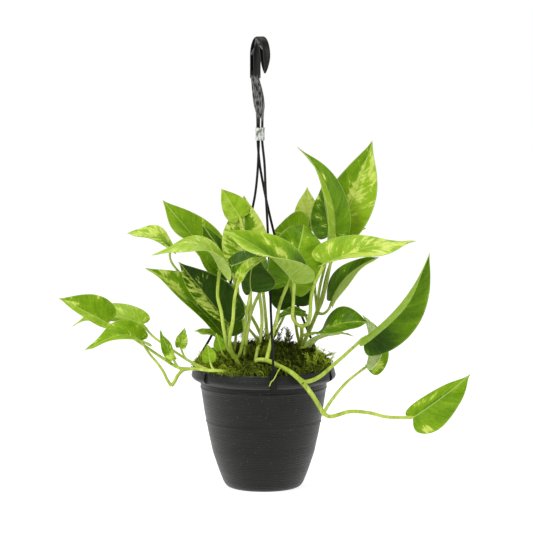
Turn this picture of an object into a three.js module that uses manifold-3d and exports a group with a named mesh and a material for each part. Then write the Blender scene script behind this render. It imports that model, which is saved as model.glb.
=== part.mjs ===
// A variegated pothos in a black hanging pot, on a three-strand hanger that ends in a hook.
// Millimetres, +Z up. The origin is the middle of the pot's flat base. +X is to the right of
// the front view and +Y points away from it.
import * as THREE from 'three';
import { mergeVertices } from 'three/addons/utils/BufferGeometryUtils.js';
import Module from 'manifold-3d';

const wasm = await Module();
wasm.setup();

// ---------------------------------------------------------------- driving dimensions
const GAP = 0.3; // clearance between pieces that touch

const POT_HEIGHT = 138;
const POT_WALL = 1.8;
const POT_FLOOR = 2.4;
const POT_SEGMENTS = 28;
const RIM_BULGE_RADIUS = 82.3;
const RIM_INNER_RADIUS = 77.6;
const RIM_LEDGE_Z = 124.6;
const RIDGE_HEIGHTS = [75.5, 114.9]; // raised rings round the body
const RIDGE_PROUD = 0.8;
const DRAIN_COUNT = 6;
const DRAIN_RADIUS = 4;
const DRAIN_RING = 27;

const POCKET_COUNT = 6; // notches in the rim for the hanger's clips
const POCKET_FIRST = -82; // degrees from +X
const POCKET_WIDTH = 8;
const POCKET_PLANE = 79.2; // distance of the pocket's floor from the axis
const POCKET_DEPTH = 6;
const POCKET_FOOT = 120;

const SOIL_TOP = 118;
const MOSS_FOOT_RADIUS = 69.4;
const MOSS_HEIGHT = 158;

const HOOK_CENTRE = [-4.6, 0, 498.3]; // middle of the crook's round top
const HOOK_TURN = -58; // degrees that the crook's plane turns from +X
const HOOK_OUTER = 15;
const HOOK_INNER = 6.5;
const HOOK_DEPTH = 8;
const HOOK_FLANGE = 1.7;
const HOOK_WEB = 2.2;
const HOOK_TIP_Z = 471.3;
const HOOK_STEM_Z = 466;
const STRAND_RADIUS = 1.4;
const CLIP_WIDTH = 7;
const CLIP_PLATE = 1.4;
const CLIP_TOP = 147;
const CLIP_FOOT = 119.6;
const CLIP_CATCH = 4.6; // how far the clip's foot reaches in under the rim
const CLIP_SHOULDER = 2.6;
const CLIP_EDGE = 1.5; // height of the foot and of the shoulder
const TAPE_MIDDLE = [-3.95, 0.4, 403];
const TAPE_HEIGHT = 16;
const TAPE_RADII = [5.15, 4.05];
const TAPE_WALL = 0.4;

const BLADE_THICKNESS = 0.8;
const BLADE_COLUMNS = 1; // panels from midrib to margin
const MIDRIB_PROUD = 0.9; // how far the midrib stands out below the blade at its base
const KNEE_LENGTH = 4; // swollen joint between petiole and blade, part of the leaf
const KNEE_END_RADIUS = 0.3; // the knee fades out inside the blade
const KNEE_INTO_BLADE = 3;
const KNEE_SIDES = 4;
const STEM_SIDES = 5;

const BLACK_PLASTIC = { color: 0x1d1d1a, roughness: 0.45, metalness: 0 };
const HANGER_PLASTIC = { color: 0x141413, roughness: 0.35, metalness: 0 };
const CLEAR_TAPE = { color: 0xb9bcb4, roughness: 0.3, metalness: 0 };
const POTTING_SOIL = { color: 0x2e2118, roughness: 0.95, metalness: 0 };
const MOSS_GREEN = { color: 0x5c7320, roughness: 0.95, metalness: 0 };
const STEM_GREEN = { color: 0x9fc34e, roughness: 0.5, metalness: 0 };
const LEAF_GREEN = { color: 0x5fa52c, roughness: 0.4, metalness: 0 };

// ---------------------------------------------------------------- solids
const degrees = THREE.MathUtils.degToRad;

function vector(point) {
  return new THREE.Vector3(point[0], point[1], point[2]);
}

function solidOf(geometry) {
  const bare = geometry.index ? geometry.clone() : mergeVertices(geometry.clone());
  bare.deleteAttribute('normal');
  bare.deleteAttribute('uv');
  const merged = mergeVertices(bare, 1e-4);
  const index = merged.index.array;
  const kept = [];
  for (let i = 0; i < index.length; i += 3) {
    const [a, b, c] = [index[i], index[i + 1], index[i + 2]];
    if (a !== b && b !== c && c !== a) kept.push(a, b, c);
  }
  return new wasm.Manifold(new wasm.Mesh({
    numProp: 3,
    vertProperties: new Float32Array(merged.attributes.position.array),
    triVerts: new Uint32Array(kept),
  }));
}

function geometryOf(solid) {
  const mesh = solid.getMesh();
  const geometry = new THREE.BufferGeometry();
  geometry.setAttribute('position', new THREE.BufferAttribute(mesh.vertProperties, 3));
  geometry.setIndex(new THREE.BufferAttribute(mesh.triVerts, 1));
  return geometry;
}

function fuse(solids) {
  let whole = solids[0];
  for (const solid of solids.slice(1)) whole = whole.add(solid);
  return whole;
}

function lathe(profile, segments) {
  const geometry = new THREE.LatheGeometry(profile.map(([r, z]) => new THREE.Vector2(r, z)), segments);
  geometry.rotateX(Math.PI / 2);
  return geometry;
}

function box(width, depth, height) {
  return new THREE.BoxGeometry(width, depth, height);
}

// A round bar along a curve between two lengths, tapering from one radius to the other.
function bar(curve, from, to, startRadius, endRadius, steps, sides) {
  const length = curve.getLength();
  const geometry = new THREE.CylinderGeometry(1, 1, 1, sides, steps, false);
  const position = geometry.attributes.position;
  const along = curve.getTangentAt((from + to) / 2 / length);
  const guide = Math.abs(along.z) > 0.8 ? new THREE.Vector3(1, 0, 0) : new THREE.Vector3(0, 0, 1);
  for (let i = 0; i < position.count; i++) {
    const share = position.getY(i) + 0.5;
    const at = THREE.MathUtils.clamp((from + (to - from) * share) / length, 0, 1);
    const tangent = curve.getTangentAt(at);
    const side = new THREE.Vector3().crossVectors(tangent, guide).normalize();
    const normal = new THREE.Vector3().crossVectors(side, tangent);
    const radius = startRadius + (endRadius - startRadius) * share;
    const point = curve.getPointAt(at);
    point.addScaledVector(side, position.getX(i) * radius);
    point.addScaledVector(normal, position.getZ(i) * radius);
    position.setXYZ(i, point.x, point.y, point.z);
  }
  return solidOf(geometry);
}

function routeThrough(points) {
  return new THREE.CatmullRomCurve3(points.map(vector), false, 'centripetal');
}

const model = new THREE.Group();

function place(name, solid, finish) {
  const mesh = new THREE.Mesh(geometryOf(solid), new THREE.MeshStandardMaterial(finish));
  mesh.name = name;
  model.add(mesh);
}

// ---------------------------------------------------------------- pot
// One injection-moulded shell: rounded foot, body that widens upwards, two raised rings,
// and a turned-out rim band with six clip pockets.
const bodyProfile = [
  [37.5, 0], [41, 1], [43.6, 3.2], [46, 6.5], [50.5, 17.8], [54.5, 29.4], [58.2, 40.9],
  [60.7, 52.4], [63.2, 63.9], [65.3, 75.5], [67.5, 86.9], [69.2, 98.4], [71.6, 114.9],
  [72.2, 121.2],
];

function bodyRadius(z) {
  let above = bodyProfile.findIndex(([, height]) => height >= z);
  above = Math.max(1, above < 0 ? bodyProfile.length - 1 : above);
  const [r0, z0] = bodyProfile[above - 1];
  const [r1, z1] = bodyProfile[above];
  return r0 + (r1 - r0) * (z - z0) / (z1 - z0);
}

function potSolid() {
  const outside = [[0, 0]];
  for (const [r, z] of bodyProfile) {
    if (!RIDGE_HEIGHTS.includes(z)) {
      outside.push([r, z]);
      continue;
    }
    outside.push([bodyRadius(z - 1.2), z - 1.2], [r + RIDGE_PROUD, z], [bodyRadius(z + 1.2), z + 1.2]);
  }
  const rim = [
    [75, 122.4], [78.5, 124.2], [81, 126], [RIM_BULGE_RADIUS, 128.2], [79.7, POT_HEIGHT - 0.6],
    [79.2, POT_HEIGHT], [RIM_INNER_RADIUS + 0.4, POT_HEIGHT], [RIM_INNER_RADIUS, POT_HEIGHT - 0.5],
    [RIM_INNER_RADIUS, RIM_LEDGE_Z + 1.5], [bodyRadius(120) - POT_WALL, RIM_LEDGE_Z],
  ];
  const inside = bodyProfile.filter(([, z], i) => z > POT_FLOOR && z < 120 && i % 2 === 0).reverse()
    .map(([r, z]) => [r - POT_WALL, z]);
  const floorEdge = [bodyRadius(POT_FLOOR) - POT_WALL - 1, POT_FLOOR];
  let pot = solidOf(lathe([...outside, ...rim, ...inside, floorEdge, [0, POT_FLOOR]], POT_SEGMENTS));
  for (let i = 0; i < POCKET_COUNT; i++) {
    const height = 2 * (POT_HEIGHT - POCKET_FOOT);
    const pocket = box(POCKET_DEPTH, POCKET_WIDTH, height);
    pocket.translate(POCKET_PLANE + POCKET_DEPTH / 2, 0, POCKET_FOOT + height / 2);
    pocket.rotateZ(degrees(POCKET_FIRST + i * 360 / POCKET_COUNT));
    pot = pot.subtract(solidOf(pocket));
  }
  for (let i = 0; i < DRAIN_COUNT; i++) {
    const drain = new THREE.CylinderGeometry(DRAIN_RADIUS, DRAIN_RADIUS, 4 * POT_FLOOR, 8);
    drain.rotateX(Math.PI / 2);
    drain.translate(DRAIN_RING, 0, 0);
    drain.rotateZ(degrees(i * 360 / DRAIN_COUNT));
    pot = pot.subtract(solidOf(drain));
  }
  return pot;
}

// ---------------------------------------------------------------- hanger
// One moulding: a channelled hook with zigzag ribs, a flat strap, three slack strands and a
// spring clip at the foot of each strand. It hooks over the rim's pockets.
function crookOutline(inset) {
  const shape = new THREE.Shape();
  const outer = HOOK_OUTER - inset;
  const inner = HOOK_INNER + inset;
  const stemEnd = HOOK_STEM_Z - HOOK_CENTRE[2] + inset;
  const tipEnd = HOOK_TIP_Z - HOOK_CENTRE[2] + inset;
  shape.moveTo(-outer, stemEnd);
  shape.lineTo(-outer, 0);
  shape.absarc(0, 0, outer, Math.PI, 0, true);
  shape.quadraticCurveTo(outer, tipEnd * 0.6, 12.2 - inset * 0.4, tipEnd + 2.5);
  shape.quadraticCurveTo(10.6, tipEnd - 0.6, 9.2 + inset * 0.4, tipEnd + 2.5);
  shape.quadraticCurveTo(inner, tipEnd * 0.6, inner, 0);
  shape.absarc(0, 0, inner, 0, Math.PI, false);
  shape.lineTo(-inner, stemEnd);
  const points = shape.getPoints(4);
  return points.filter((point, i) => point.distanceTo(points[(i + 1) % points.length]) > 0.01);
}

function extrudeCentred(outline, depth) {
  const geometry = new THREE.ExtrudeGeometry(new THREE.Shape(outline), { depth, bevelEnabled: false });
  geometry.translate(0, 0, -depth / 2);
  return geometry;
}

function hookSolid() {
  const pieces = [
    extrudeCentred(crookOutline(0), HOOK_DEPTH),
    extrudeCentred(crookOutline(HOOK_FLANGE), HOOK_DEPTH + 2),
    extrudeCentred(crookOutline(0), HOOK_WEB),
  ];
  const zigzag = [180, 138, 96, 54, 12];
  for (let i = 0; i + 1 < zigzag.length; i++) {
    const ends = [zigzag[i], zigzag[i + 1]].map((angle, end) => {
      const radius = (i + end) % 2 ? HOOK_OUTER - HOOK_FLANGE / 2 : HOOK_INNER + HOOK_FLANGE / 2;
      return new THREE.Vector2(radius * Math.cos(degrees(angle)), radius * Math.sin(degrees(angle)));
    });
    const rib = box(ends[0].distanceTo(ends[1]), 0.9, HOOK_DEPTH - 1);
    rib.rotateZ(Math.atan2(ends[1].y - ends[0].y, ends[1].x - ends[0].x));
    rib.translate((ends[0].x + ends[1].x) / 2, (ends[0].y + ends[1].y) / 2, 0);
    pieces.push(rib);
  }
  const [block, hollow, web, ...ribs] = pieces.map((geometry) => {
    geometry.rotateX(Math.PI / 2);
    geometry.rotateZ(degrees(HOOK_TURN));
    geometry.translate(...HOOK_CENTRE);
    return solidOf(geometry);
  });
  return fuse([block.subtract(hollow), web, ...ribs]);
}

// The strap below the hook: a flat bar whose section turns and changes size on the way down.
const strapStations = [
  // centre, width, thickness, turn in degrees
  { at: [-10.3, 9.2, 474], width: 8.4, thick: 8, turn: HOOK_TURN },
  { at: [-9.6, 7.6, 466], width: 9.4, thick: 7.4, turn: -46 },
  { at: [-7.6, 4.2, 455], width: 11.8, thick: 5.4, turn: -24 },
  { at: [-5.8, 1.6, 443], width: 12.8, thick: 4.2, turn: -8 },
  { at: [-4.7, 0.5, 434], width: 12, thick: 3.8, turn: 0 },
  { at: [-4.2, 0.2, 427], width: 9.4, thick: 3.6, turn: 0 },
  { at: [-4.1, 0.2, 421], width: 9, thick: 3.4, turn: 0 },
];

function strapSolid() {
  const geometry = new THREE.BoxGeometry(1, 1, 1, 2, 1, strapStations.length - 1);
  const position = geometry.attributes.position;
  for (let i = 0; i < position.count; i++) {
    const row = Math.round((0.5 - position.getZ(i)) * (strapStations.length - 1));
    const { at, width, thick, turn } = strapStations[row];
    const across = position.getX(i) * width;
    const rib = Math.abs(position.getX(i)) < 0.1 ? 1.25 : 1; // a low rib down the middle
    const deep = position.getY(i) * thick * rib;
    const [c, s] = [Math.cos(degrees(turn)), Math.sin(degrees(turn))];
    position.setXYZ(i, at[0] + across * c - deep * s, at[1] + across * s + deep * c, at[2]);
  }
  return solidOf(geometry);
}

const strandRoutes = [
  // front strand, to the pocket at -82 degrees
  { pocket: 0, points: [[-1.2, -0.1, 424], [-1.5, 0, 410], [-1.6, 0.2, 396], [1, -6, 370], [2.4, -13, 338],
    [4.4, -18.5, 302], [5.7, -21, 276], [6.6, -21.5, 256], [7.2, -23, 238], [8.2, -44, 206],
    [9.8, -70, 172]] },
  // right strand, from the left of the strap to the pocket at 38 degrees
  { pocket: 2, points: [[-7, 0.1, 424], [-6.8, 0.2, 410], [-6.7, 0.5, 396], [-4.6, 5, 370], [-0.5, 10, 345],
    [5, 17, 318], [14, 26, 280], [29, 35, 230], [49, 43, 178]] },
  // left strand, from the middle of the strap to the pocket at 158 degrees
  { pocket: 4, points: [[-4, 1.2, 424], [-4, 1.5, 410], [-4.1, 1.7, 396], [-7, 6, 358], [-10.6, 9, 328],
    [-20, 13, 290], [-36, 18, 238], [-54, 24, 182]] },
];

function strandSolids() {
  return strandRoutes.flatMap(({ pocket, points }) => {
    const angle = degrees(POCKET_FIRST + pocket * 360 / POCKET_COUNT);
    const face = POCKET_PLANE + GAP + CLIP_PLATE / 2;
    const end = [face * Math.cos(angle), face * Math.sin(angle), CLIP_TOP - 1];
    const curve = routeThrough([...points, end]);
    const strand = bar(curve, 0, curve.getLength(), STRAND_RADIUS, STRAND_RADIUS, 15, 5);
    const plate = box(CLIP_PLATE, CLIP_WIDTH, CLIP_TOP - CLIP_FOOT);
    plate.translate(face, 0, (CLIP_TOP + CLIP_FOOT) / 2);
    const foot = box(CLIP_CATCH, CLIP_WIDTH, CLIP_EDGE);
    foot.translate(face + (CLIP_PLATE - CLIP_CATCH) / 2, 0, CLIP_FOOT + CLIP_EDGE / 2);
    const shoulder = box(CLIP_SHOULDER, CLIP_WIDTH, CLIP_EDGE);
    shoulder.translate(face, 0, CLIP_TOP - CLIP_EDGE / 2);
    return [strand, ...[plate, foot, shoulder].map((geometry) => {
      geometry.rotateZ(angle);
      return solidOf(geometry);
    })];
  });
}

// Clear tape wound once round the three strands, below the strap.
function tapeSolid() {
  const [sleeve, bore] = [0, TAPE_WALL].map((inset) => {
    const oval = new THREE.CylinderGeometry(1, 1, TAPE_HEIGHT + 2 * inset, 20);
    oval.rotateX(Math.PI / 2);
    oval.scale(TAPE_RADII[0] - inset, TAPE_RADII[1] - inset, 1);
    return solidOf(oval);
  });
  return sleeve.subtract(bore).translate(TAPE_MIDDLE);
}

// ---------------------------------------------------------------- leafy stems
// Each node is one green piece: a creeping stem with the petioles that grow from it. A branch
// is a route of points with its radius at the start and at the end. A branch that carries a
// leaf names it, ends at the leaf's base, and stops short of the leaf's knee.
const stems = {
  stem_left_upright: [
    { radii: [2.9, 2.4], route: [[-22, -38, 106], [-24, -41, 130], [-27, -44, 143], [-33, -47, 157]] },
    { leaf: 'leaf_front_left', radii: [2.3, 1.7], route: [[-33, -47, 155], [-40, -58, 168],
      [-44, -68, 188], [-47, -71, 209], [-51, -70, 227]] },
    { leaf: 'leaf_small_folded', radii: [2.3, 1.7], route: [[-33, -47, 155], [-38, -63, 173],
      [-34, -76, 201], [-32, -79, 226]] },
  ],
  stem_dark_round: [
    { leaf: 'leaf_dark_round', radii: [2, 1.6], route: [[-30, -30, 106], [-30, -36, 146],
      [-25, -42, 164], [-21, -47, 188], [-19, -52, 206]] },
  ],
  stem_centre_back: [
    { leaf: 'leaf_striped', radii: [2.4, 1.7], route: [[-23, -26, 106], [-22, -30, 141],
      [-19, -26, 177], [-16, -23, 196], [-15, -21, 225]] },
    { leaf: 'leaf_dark_small', radii: [1.6, 1.4], route: [[-20, -28, 165], [-24, -28, 200],
      [-33, -37, 240]] },
    { leaf: 'leaf_round_back', radii: [2, 1.6], route: [[-19, -25, 180], [-12, 5, 205],
      [2, 30, 228], [30, 46, 254], [43, 50, 267]] },
  ],
  stem_centre: [
    { leaf: 'leaf_upper_centre', radii: [2.2, 1.6], route: [[-10, -36, 106], [-9, -38, 150],
      [-3, -25, 177], [-2, -20, 200], [-8, -22, 240], [-16, -24, 270], [-21, -20, 290]] },
  ],
  stem_right_trailing: [
    { radii: [2.6, 2.9], route: [[-12, -46, 106], [-13, -46, 140], [-8, -48, 151], [3, -53, 152],
      [18, -64, 147], [32, -76, 141], [44, -79, 131]] },
    { radii: [2.9, 2.5], route: [[44, -79, 131], [55, -73, 115], [67, -64, 94]] },
    { radii: [2.3, 1.8], leaf: 'leaf_low_right', route: [[67, -64, 94], [74, -62, 90], [97, -58, 95],
      [119, -55, 93], [138, -52, 88]] },
    { leaf: 'leaf_centre_upright', radii: [2.3, 1.8], route: [[3, -53, 151], [9, -47, 176],
      [14, -41, 194], [19, -34, 215]] },
    { leaf: 'leaf_big_right', radii: [2.4, 1.7], route: [[44, -79, 131], [54, -76, 133], [63, -72, 137],
      [75, -64, 146], [87, -56, 155], [97, -49, 163]] },
    { leaf: 'leaf_right_hanging', radii: [1.9, 1.4], route: [[67, -64, 94], [74, -61, 105],
      [83, -54, 116], [94, -41, 126], [107, -25, 134]] },
  ],
  stem_right_bend: [
    { leaf: 'leaf_right_low', radii: [1.8, 1.5], route: [[43, -24, 176], [47, -29, 178]] },
    { leaf: 'leaf_low_under', radii: [1.7, 1.4], route: [[41.5, -10, 161], [46, -18, 162]] },
    { radii: [2.3, 2.1], route: [[40, -2, 106], [41, -8, 160], [43, -22, 175], [43, -40, 189]] },
    { leaf: 'leaf_front_centre', radii: [2, 1.8], route: [[43, -40, 189], [38, -44, 191.5],
      [32.5, -55, 201], [33, -65, 215]] },
    { leaf: 'leaf_right_wide', radii: [2.2, 1.8], route: [[43, -40, 189], [49, -42, 192], [52, -46, 202],
      [53, -48, 220], [56, -48, 235]] },
  ],
  stem_back: [
    { radii: [2.8, 2.4], route: [[2, 34, 106], [2, 36, 140], [4, 40, 170]] },
    { leaf: 'leaf_back_left', radii: [2.1, 1.6], route: [[3, 37, 152], [-8, 46, 178], [-28, 54, 210],
      [-44, 62, 238]] },
    { leaf: 'leaf_back_centre', radii: [2.1, 1.6], route: [[4, 40, 168], [2, 52, 192], [-1, 66, 220]] },
    { leaf: 'leaf_back_right', radii: [2.1, 1.6], route: [[3, 38, 158], [16, 46, 184], [40, 56, 214],
      [60, 66, 242]] },
    { leaf: 'leaf_back_low_left', radii: [1.8, 1.4], route: [[3, 37, 150], [-8, 44, 164], [-22, 50, 180],
      [-32, 54, 192]] },
    { leaf: 'leaf_back_low_right', radii: [1.8, 1.4], route: [[3, 37, 150], [14, 46, 170],
      [24, 54, 190]] },
  ],
  stem_right_back: [
    { radii: [2.6, 2.3], route: [[42, 12, 106], [43, 10, 155], [51, 6, 175], [61, 2, 200]] },
    { leaf: 'leaf_tall_front', radii: [1.9, 1.6], route: [[61, 2, 200], [66, 3, 211], [70, 3, 226],
      [76, 3, 256]] },
    { leaf: 'leaf_dark_behind', radii: [1.8, 1.5], route: [[61, 2, 200], [62, 6, 214], [65, 10, 232],
      [70, 13, 252]] },
    { leaf: 'leaf_small_cream', radii: [1.6, 1.3], route: [[61, 2, 200], [59, 16, 220], [56, 40, 255]] },
    { leaf: 'leaf_high_right', radii: [1.9, 1.6], route: [[61, 2, 200], [67, 14, 218], [73, 24, 242],
      [82, 32, 268]] },
    { leaf: 'leaf_low_edge', radii: [1.5, 1.3], route: [[50, 7, 172], [51, 3, 186]] },
    { leaf: 'leaf_dark_back', radii: [1.9, 1.6], route: [[43, 10, 155], [38, 12, 176]] },
    { leaf: 'leaf_right_lower', radii: [1.7, 1.4], route: [[61, 1, 199], [68, 2, 198], [74, 3, 203]] },
  ],
  stem_left_back: [
    { radii: [2.5, 2.2], route: [[-33, -14, 106], [-34, -16, 146], [-38, -16, 166]] },
    { leaf: 'leaf_dark_mottled', radii: [2, 1.7], route: [[-34, -16, 150], [-37, -26, 164],
      [-39, -40, 178]] },
    { leaf: 'leaf_left_pointed', radii: [2, 1.6], route: [[-38, -16, 164], [-42, -22, 168]] },
    { leaf: 'leaf_far_upper_left', radii: [1.7, 1.3], route: [[-38, -16, 166], [-52, -2, 185],
      [-72, 2, 221], [-92, -10, 243], [-105, -20, 262]] },
    { leaf: 'leaf_dark_behind_front', radii: [1.7, 1.5], route: [[-34, -16, 150], [-30, -12, 190],
      [-29, -9, 225]] },
    { leaf: 'leaf_grey_behind', radii: [1.5, 1.3], route: [[-39, -10, 176], [-42, -3, 205],
      [-47, -10, 230]] },
    { leaf: 'leaf_small_left', radii: [1.3, 1.1], route: [[-37, -16, 160], [-45, -16, 170]] },
    { leaf: 'leaf_small_bright', radii: [1.2, 1], route: [[-34, -16, 146], [-38, -34, 150],
      [-44, -45, 156]] },
    { leaf: 'leaf_upper_left', radii: [2, 1.6], route: [[-38, -16, 166], [-42, 2, 190],
      [-50, 22, 228]] },
  ],
  stem_left_trailing: [
    { radii: [1.9, 1.9], route: [[-24, -54, 106], [-27, -58, 133], [-46, -63, 141.5], [-61, -60, 142],
      [-77, -49, 142], [-90, -41, 139.5], [-96, -39, 134], [-101, -41, 125], [-104, -42, 122]] },
    { leaf: 'leaf_far_left_near', radii: [1.7, 1.3], route: [[-104, -42, 122], [-108, -43, 128],
      [-112, -45, 137], [-119, -47, 148], [-128, -48, 159]] },
    { leaf: 'leaf_far_left', radii: [1.8, 1.4], route: [[-77, -49, 142], [-96, -38, 142],
      [-117, -26, 153], [-139, -26, 168], [-158, -28, 181]] },
    { leaf: 'leaf_far_left_back', radii: [1.7, 1.3], route: [[-61, -60, 142], [-71, -44, 144],
      [-83, -32, 148], [-107, -14, 161], [-126, -4, 173]] },
    { leaf: 'leaf_small_pale', radii: [1.3, 1], route: [[-54, -62, 141], [-58, -59, 146]] },
    { leaf: 'leaf_bud_round', radii: [1.4, 1], route: [[-61, -60, 142], [-72, -44, 142.5],
      [-81, -35, 147], [-89, -30, 153]] },
    { leaf: 'leaf_spear', radii: [1.6, 1.2], route: [[-90, -41, 140], [-96, -38, 142]] },
  ],
};

// ---------------------------------------------------------------- leaves
// One row for each leaf, placed by eye on the real plant. base is where the petiole joins and
// tip is the drawn-out point. faces is the way the glossy side looks. half is the width of one
// half, laid flat, or of the left and the right half, seen with the tip up. fold lifts those
// halves out of flat at the base, in degrees, and open is how far that eases by the tip. arch
// and sway bow the midrib towards the face and to the right, and lean brings the bow nearer the
// base. twist turns the blade between base and tip.
const leaves = {
  leaf_high_right: { base: [86, 44, 292], tip: [124, 30, 394], faces: [-0.1, -1, 0.35],
    half: [29, 31], fold: [14, 20], arch: -3, sway: 3 },
  leaf_tall_front: { base: [81, 3, 288], tip: [38, -12, 389], faces: [0.75, -0.65, 0.1],
    half: 21, fold: [20, 20], arch: 9, sway: 9, twist: 45 },
  leaf_dark_behind: { base: [76, 28, 286], tip: [67, 40, 342], faces: [-0.35, -1, 0.1],
    half: 20, fold: [12, 12] },
  leaf_small_cream: { base: [50, 56, 290], tip: [50, 50, 339], faces: [0, -1, 0.2],
    half: 16, fold: [12, 12] },
  leaf_round_back: { base: [46, 46, 280], tip: [10, 44, 288], faces: [0, -1, 0.25],
    half: [22, 30], fold: [5, 5] },
  leaf_right_wide: { base: [68, -46, 260], tip: [172, -26, 284], faces: [0, -0.37, 0.93],
    half: [28, 27], fold: [36, 34], open: [62, 66], arch: 7 },
  leaf_right_lower: { base: [78, 4, 213], tip: [131, -10, 264], faces: [-0.65, -0.27, 0.7],
    half: [24, 14], fold: [16, -10], arch: 9 },
  leaf_centre_upright: { base: [27, -30, 235], tip: [45, 20, 298], faces: [0.2, -0.8, 0.6],
    half: [29, 32], fold: [3, -4], arch: 28 },
  leaf_front_centre: { base: [34, -76, 242], tip: [-44, -110, 304], faces: [0.15, -0.37, 0.93],
    half: [33, 33], fold: [78, 46], open: [118, 38], arch: 8 },
  leaf_front_left: { base: [-49, -66, 256], tip: [-124, -76, 273], faces: [0, -0.3, 0.95],
    half: 27, fold: [36, 20], open: [66, 50], arch: 24, lean: 0.3 },
  leaf_far_upper_left: { base: [-105, -22, 277], tip: [-153, -40, 294], faces: [0.1, -0.45, 0.9],
    half: 19, fold: [10, 10], arch: 7, lean: 0.4 },
  leaf_upper_left: { base: [-57, 27, 255], tip: [-116, 37, 325], faces: [0, -0.9, 0.5],
    half: 27, fold: [95, 5], open: [95, 0] },
  leaf_dark_behind_front: { base: [-33, -8, 249], tip: [-69, -18, 302], faces: [-0.2, -0.9, 0.3],
    half: [25, 12], fold: [10, 5] },
  leaf_upper_centre: { base: [-27, -14, 310], tip: [-48, -12, 342], faces: [0, -0.9, 0.5],
    half: [14, 16], fold: [5, 5] },
  leaf_striped: { base: [-21, -20, 260], tip: [-22, -5, 334], faces: [0.1, -1, 0.1],
    half: 27, fold: [10, 5] },
  leaf_small_folded: { base: [-27, -76, 247], tip: [4, -80, 272], faces: [-0.3, -0.5, 0.85],
    half: 10, fold: [15, 5], arch: 5 },
  leaf_dark_round: { base: [-14, -60, 231], tip: [-6, -66, 274], faces: [0, -1, 0.1],
    half: [10, 30], fold: [12, 12], sway: -4 },
  leaf_right_low: { base: [60, -33, 181], tip: [118, -36, 193], faces: [0, -0.3, 0.95],
    half: [30, 20], fold: [-28, 22], open: [-105, 60], arch: 5 },
  leaf_big_right: { base: [113, -44, 177], tip: [185, -60, 274], faces: [0.61, -0.64, -0.45],
    half: [22, 33], fold: [51, 44], arch: 5, sway: 9 },
  leaf_right_hanging: { base: [116, -14, 139], tip: [113, 8, 196], faces: [0.1, -1, -0.1],
    half: [28, 23], fold: [115, -5], sway: 6 },
  leaf_low_right: { base: [168, -50, 87], tip: [233, -42, 135], faces: [-0.46, -0.64, 0.62],
    half: [22, 27], fold: [-12, -31], sway: 2 },
  leaf_far_left: { base: [-176, -28, 191], tip: [-230, -42, 221], faces: [0, -0.85, 0.5],
    half: [8, 24], fold: [0, 15], arch: 1 },
  leaf_far_left_back: { base: [-138, 2, 186], tip: [-219, 14, 182], faces: [0, -0.5, 0.85],
    half: 23, fold: [25, 8], arch: 13 },
  leaf_far_left_near: { base: [-137, -50, 174], tip: [-200, -70, 166], faces: [0, -0.5, 0.85],
    half: 20, fold: [25, 38], open: [0, 60], arch: 12, lean: 0.5 },
  leaf_spear: { base: [-102, -38, 152], tip: [-117, -32, 184], faces: [-0.5, -0.8, 0.1],
    half: 8, fold: [25, 25] },
  leaf_bud_round: { base: [-94, -28, 164], tip: [-89, -30, 186], faces: [0, -1, 0],
    half: 7, fold: [10, 10] },
  leaf_dark_mottled: { base: [-40, -40, 192], tip: [-95, -50, 263], faces: [0.1, -1, 0.3],
    half: [24, 31], fold: [80, 5], open: [75, 0] },
  leaf_left_pointed: { base: [-45, -22, 175], tip: [-134, -20, 253], faces: [-0.2, -0.8, 0.5],
    half: [24, 34], fold: [63, 5], sway: 6 },
  leaf_grey_behind: { base: [-53, -20, 243], tip: [-83, -20, 281], faces: [0, -1, 0.1],
    half: [16, 19], fold: [80, 8] },
  leaf_dark_small: { base: [-35, -46, 258], tip: [2, -46, 272], faces: [0, -0.8, 0.6],
    half: 14, fold: [0, 10] },
  leaf_dark_back: { base: [34, 14, 207], tip: [24, 20, 264], faces: [0, -1, 0.1],
    half: 26, fold: [8, 8] },
  leaf_low_edge: { base: [47, -2, 199], tip: [14, -10, 195], faces: [0, -0.3, 0.95],
    half: 12, fold: [5, 5], arch: 4 },
  leaf_small_left: { base: [-54, -16, 176], tip: [-79, -18, 181], faces: [0, -0.4, 0.9],
    half: 8, fold: [20, 20] },
  leaf_small_bright: { base: [-48, -50, 164], tip: [-53, -52, 183], faces: [0.2, -1, 0.1],
    half: 7, fold: [10, 10] },
  leaf_small_pale: { base: [-60, -57, 152], tip: [-63, -55, 171], faces: [0, -1, 0.2],
    half: 8, fold: [5, 5] },
  leaf_low_under: { base: [53, -24, 166], tip: [102, -34, 177], faces: [0, 0.3, 0.95],
    half: 12, fold: [10, 10], arch: 7 },
  leaf_back_left: { base: [-56, 72, 262], tip: [-98, 106, 288], faces: [-0.2, 0.6, 0.8],
    half: 27, fold: [12, 12], arch: 8 },
  leaf_back_centre: { base: [-4, 84, 250], tip: [-24, 118, 278], faces: [-0.1, 0.7, 0.7],
    half: 24, fold: [12, 12], arch: 5 },
  leaf_back_right: { base: [76, 78, 262], tip: [120, 104, 286], faces: [0.2, 0.6, 0.8],
    half: 27, fold: [12, 12], arch: 6 },
  leaf_back_low_left: { base: [-38, 58, 204], tip: [-72, 92, 208], faces: [-0.1, 0.5, 0.9],
    half: 20, fold: [15, 15], arch: 6 },
  leaf_back_low_right: { base: [32, 62, 214], tip: [44, 98, 232], faces: [0, 0.6, 0.8],
    half: 20, fold: [15, 15], arch: 5 },
};

// The margin of one half, from the notch at the petiole to the tip: how far along the midrib
// and how far out, as shares of the length and the half width. The last number is the place on
// the midrib where the side vein to that point leaves.
const heartMargin = [
  [0, 0, 0], [-0.06, 0.34, 0], [-0.055, 0.66, 0], [0.06, 0.9, 0.03], [0.25, 1, 0.12],
  [0.46, 0.9, 0.27], [0.65, 0.64, 0.46], [0.81, 0.34, 0.66], [0.93, 0.1, 0.85], [1, 0, 1],
];

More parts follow.
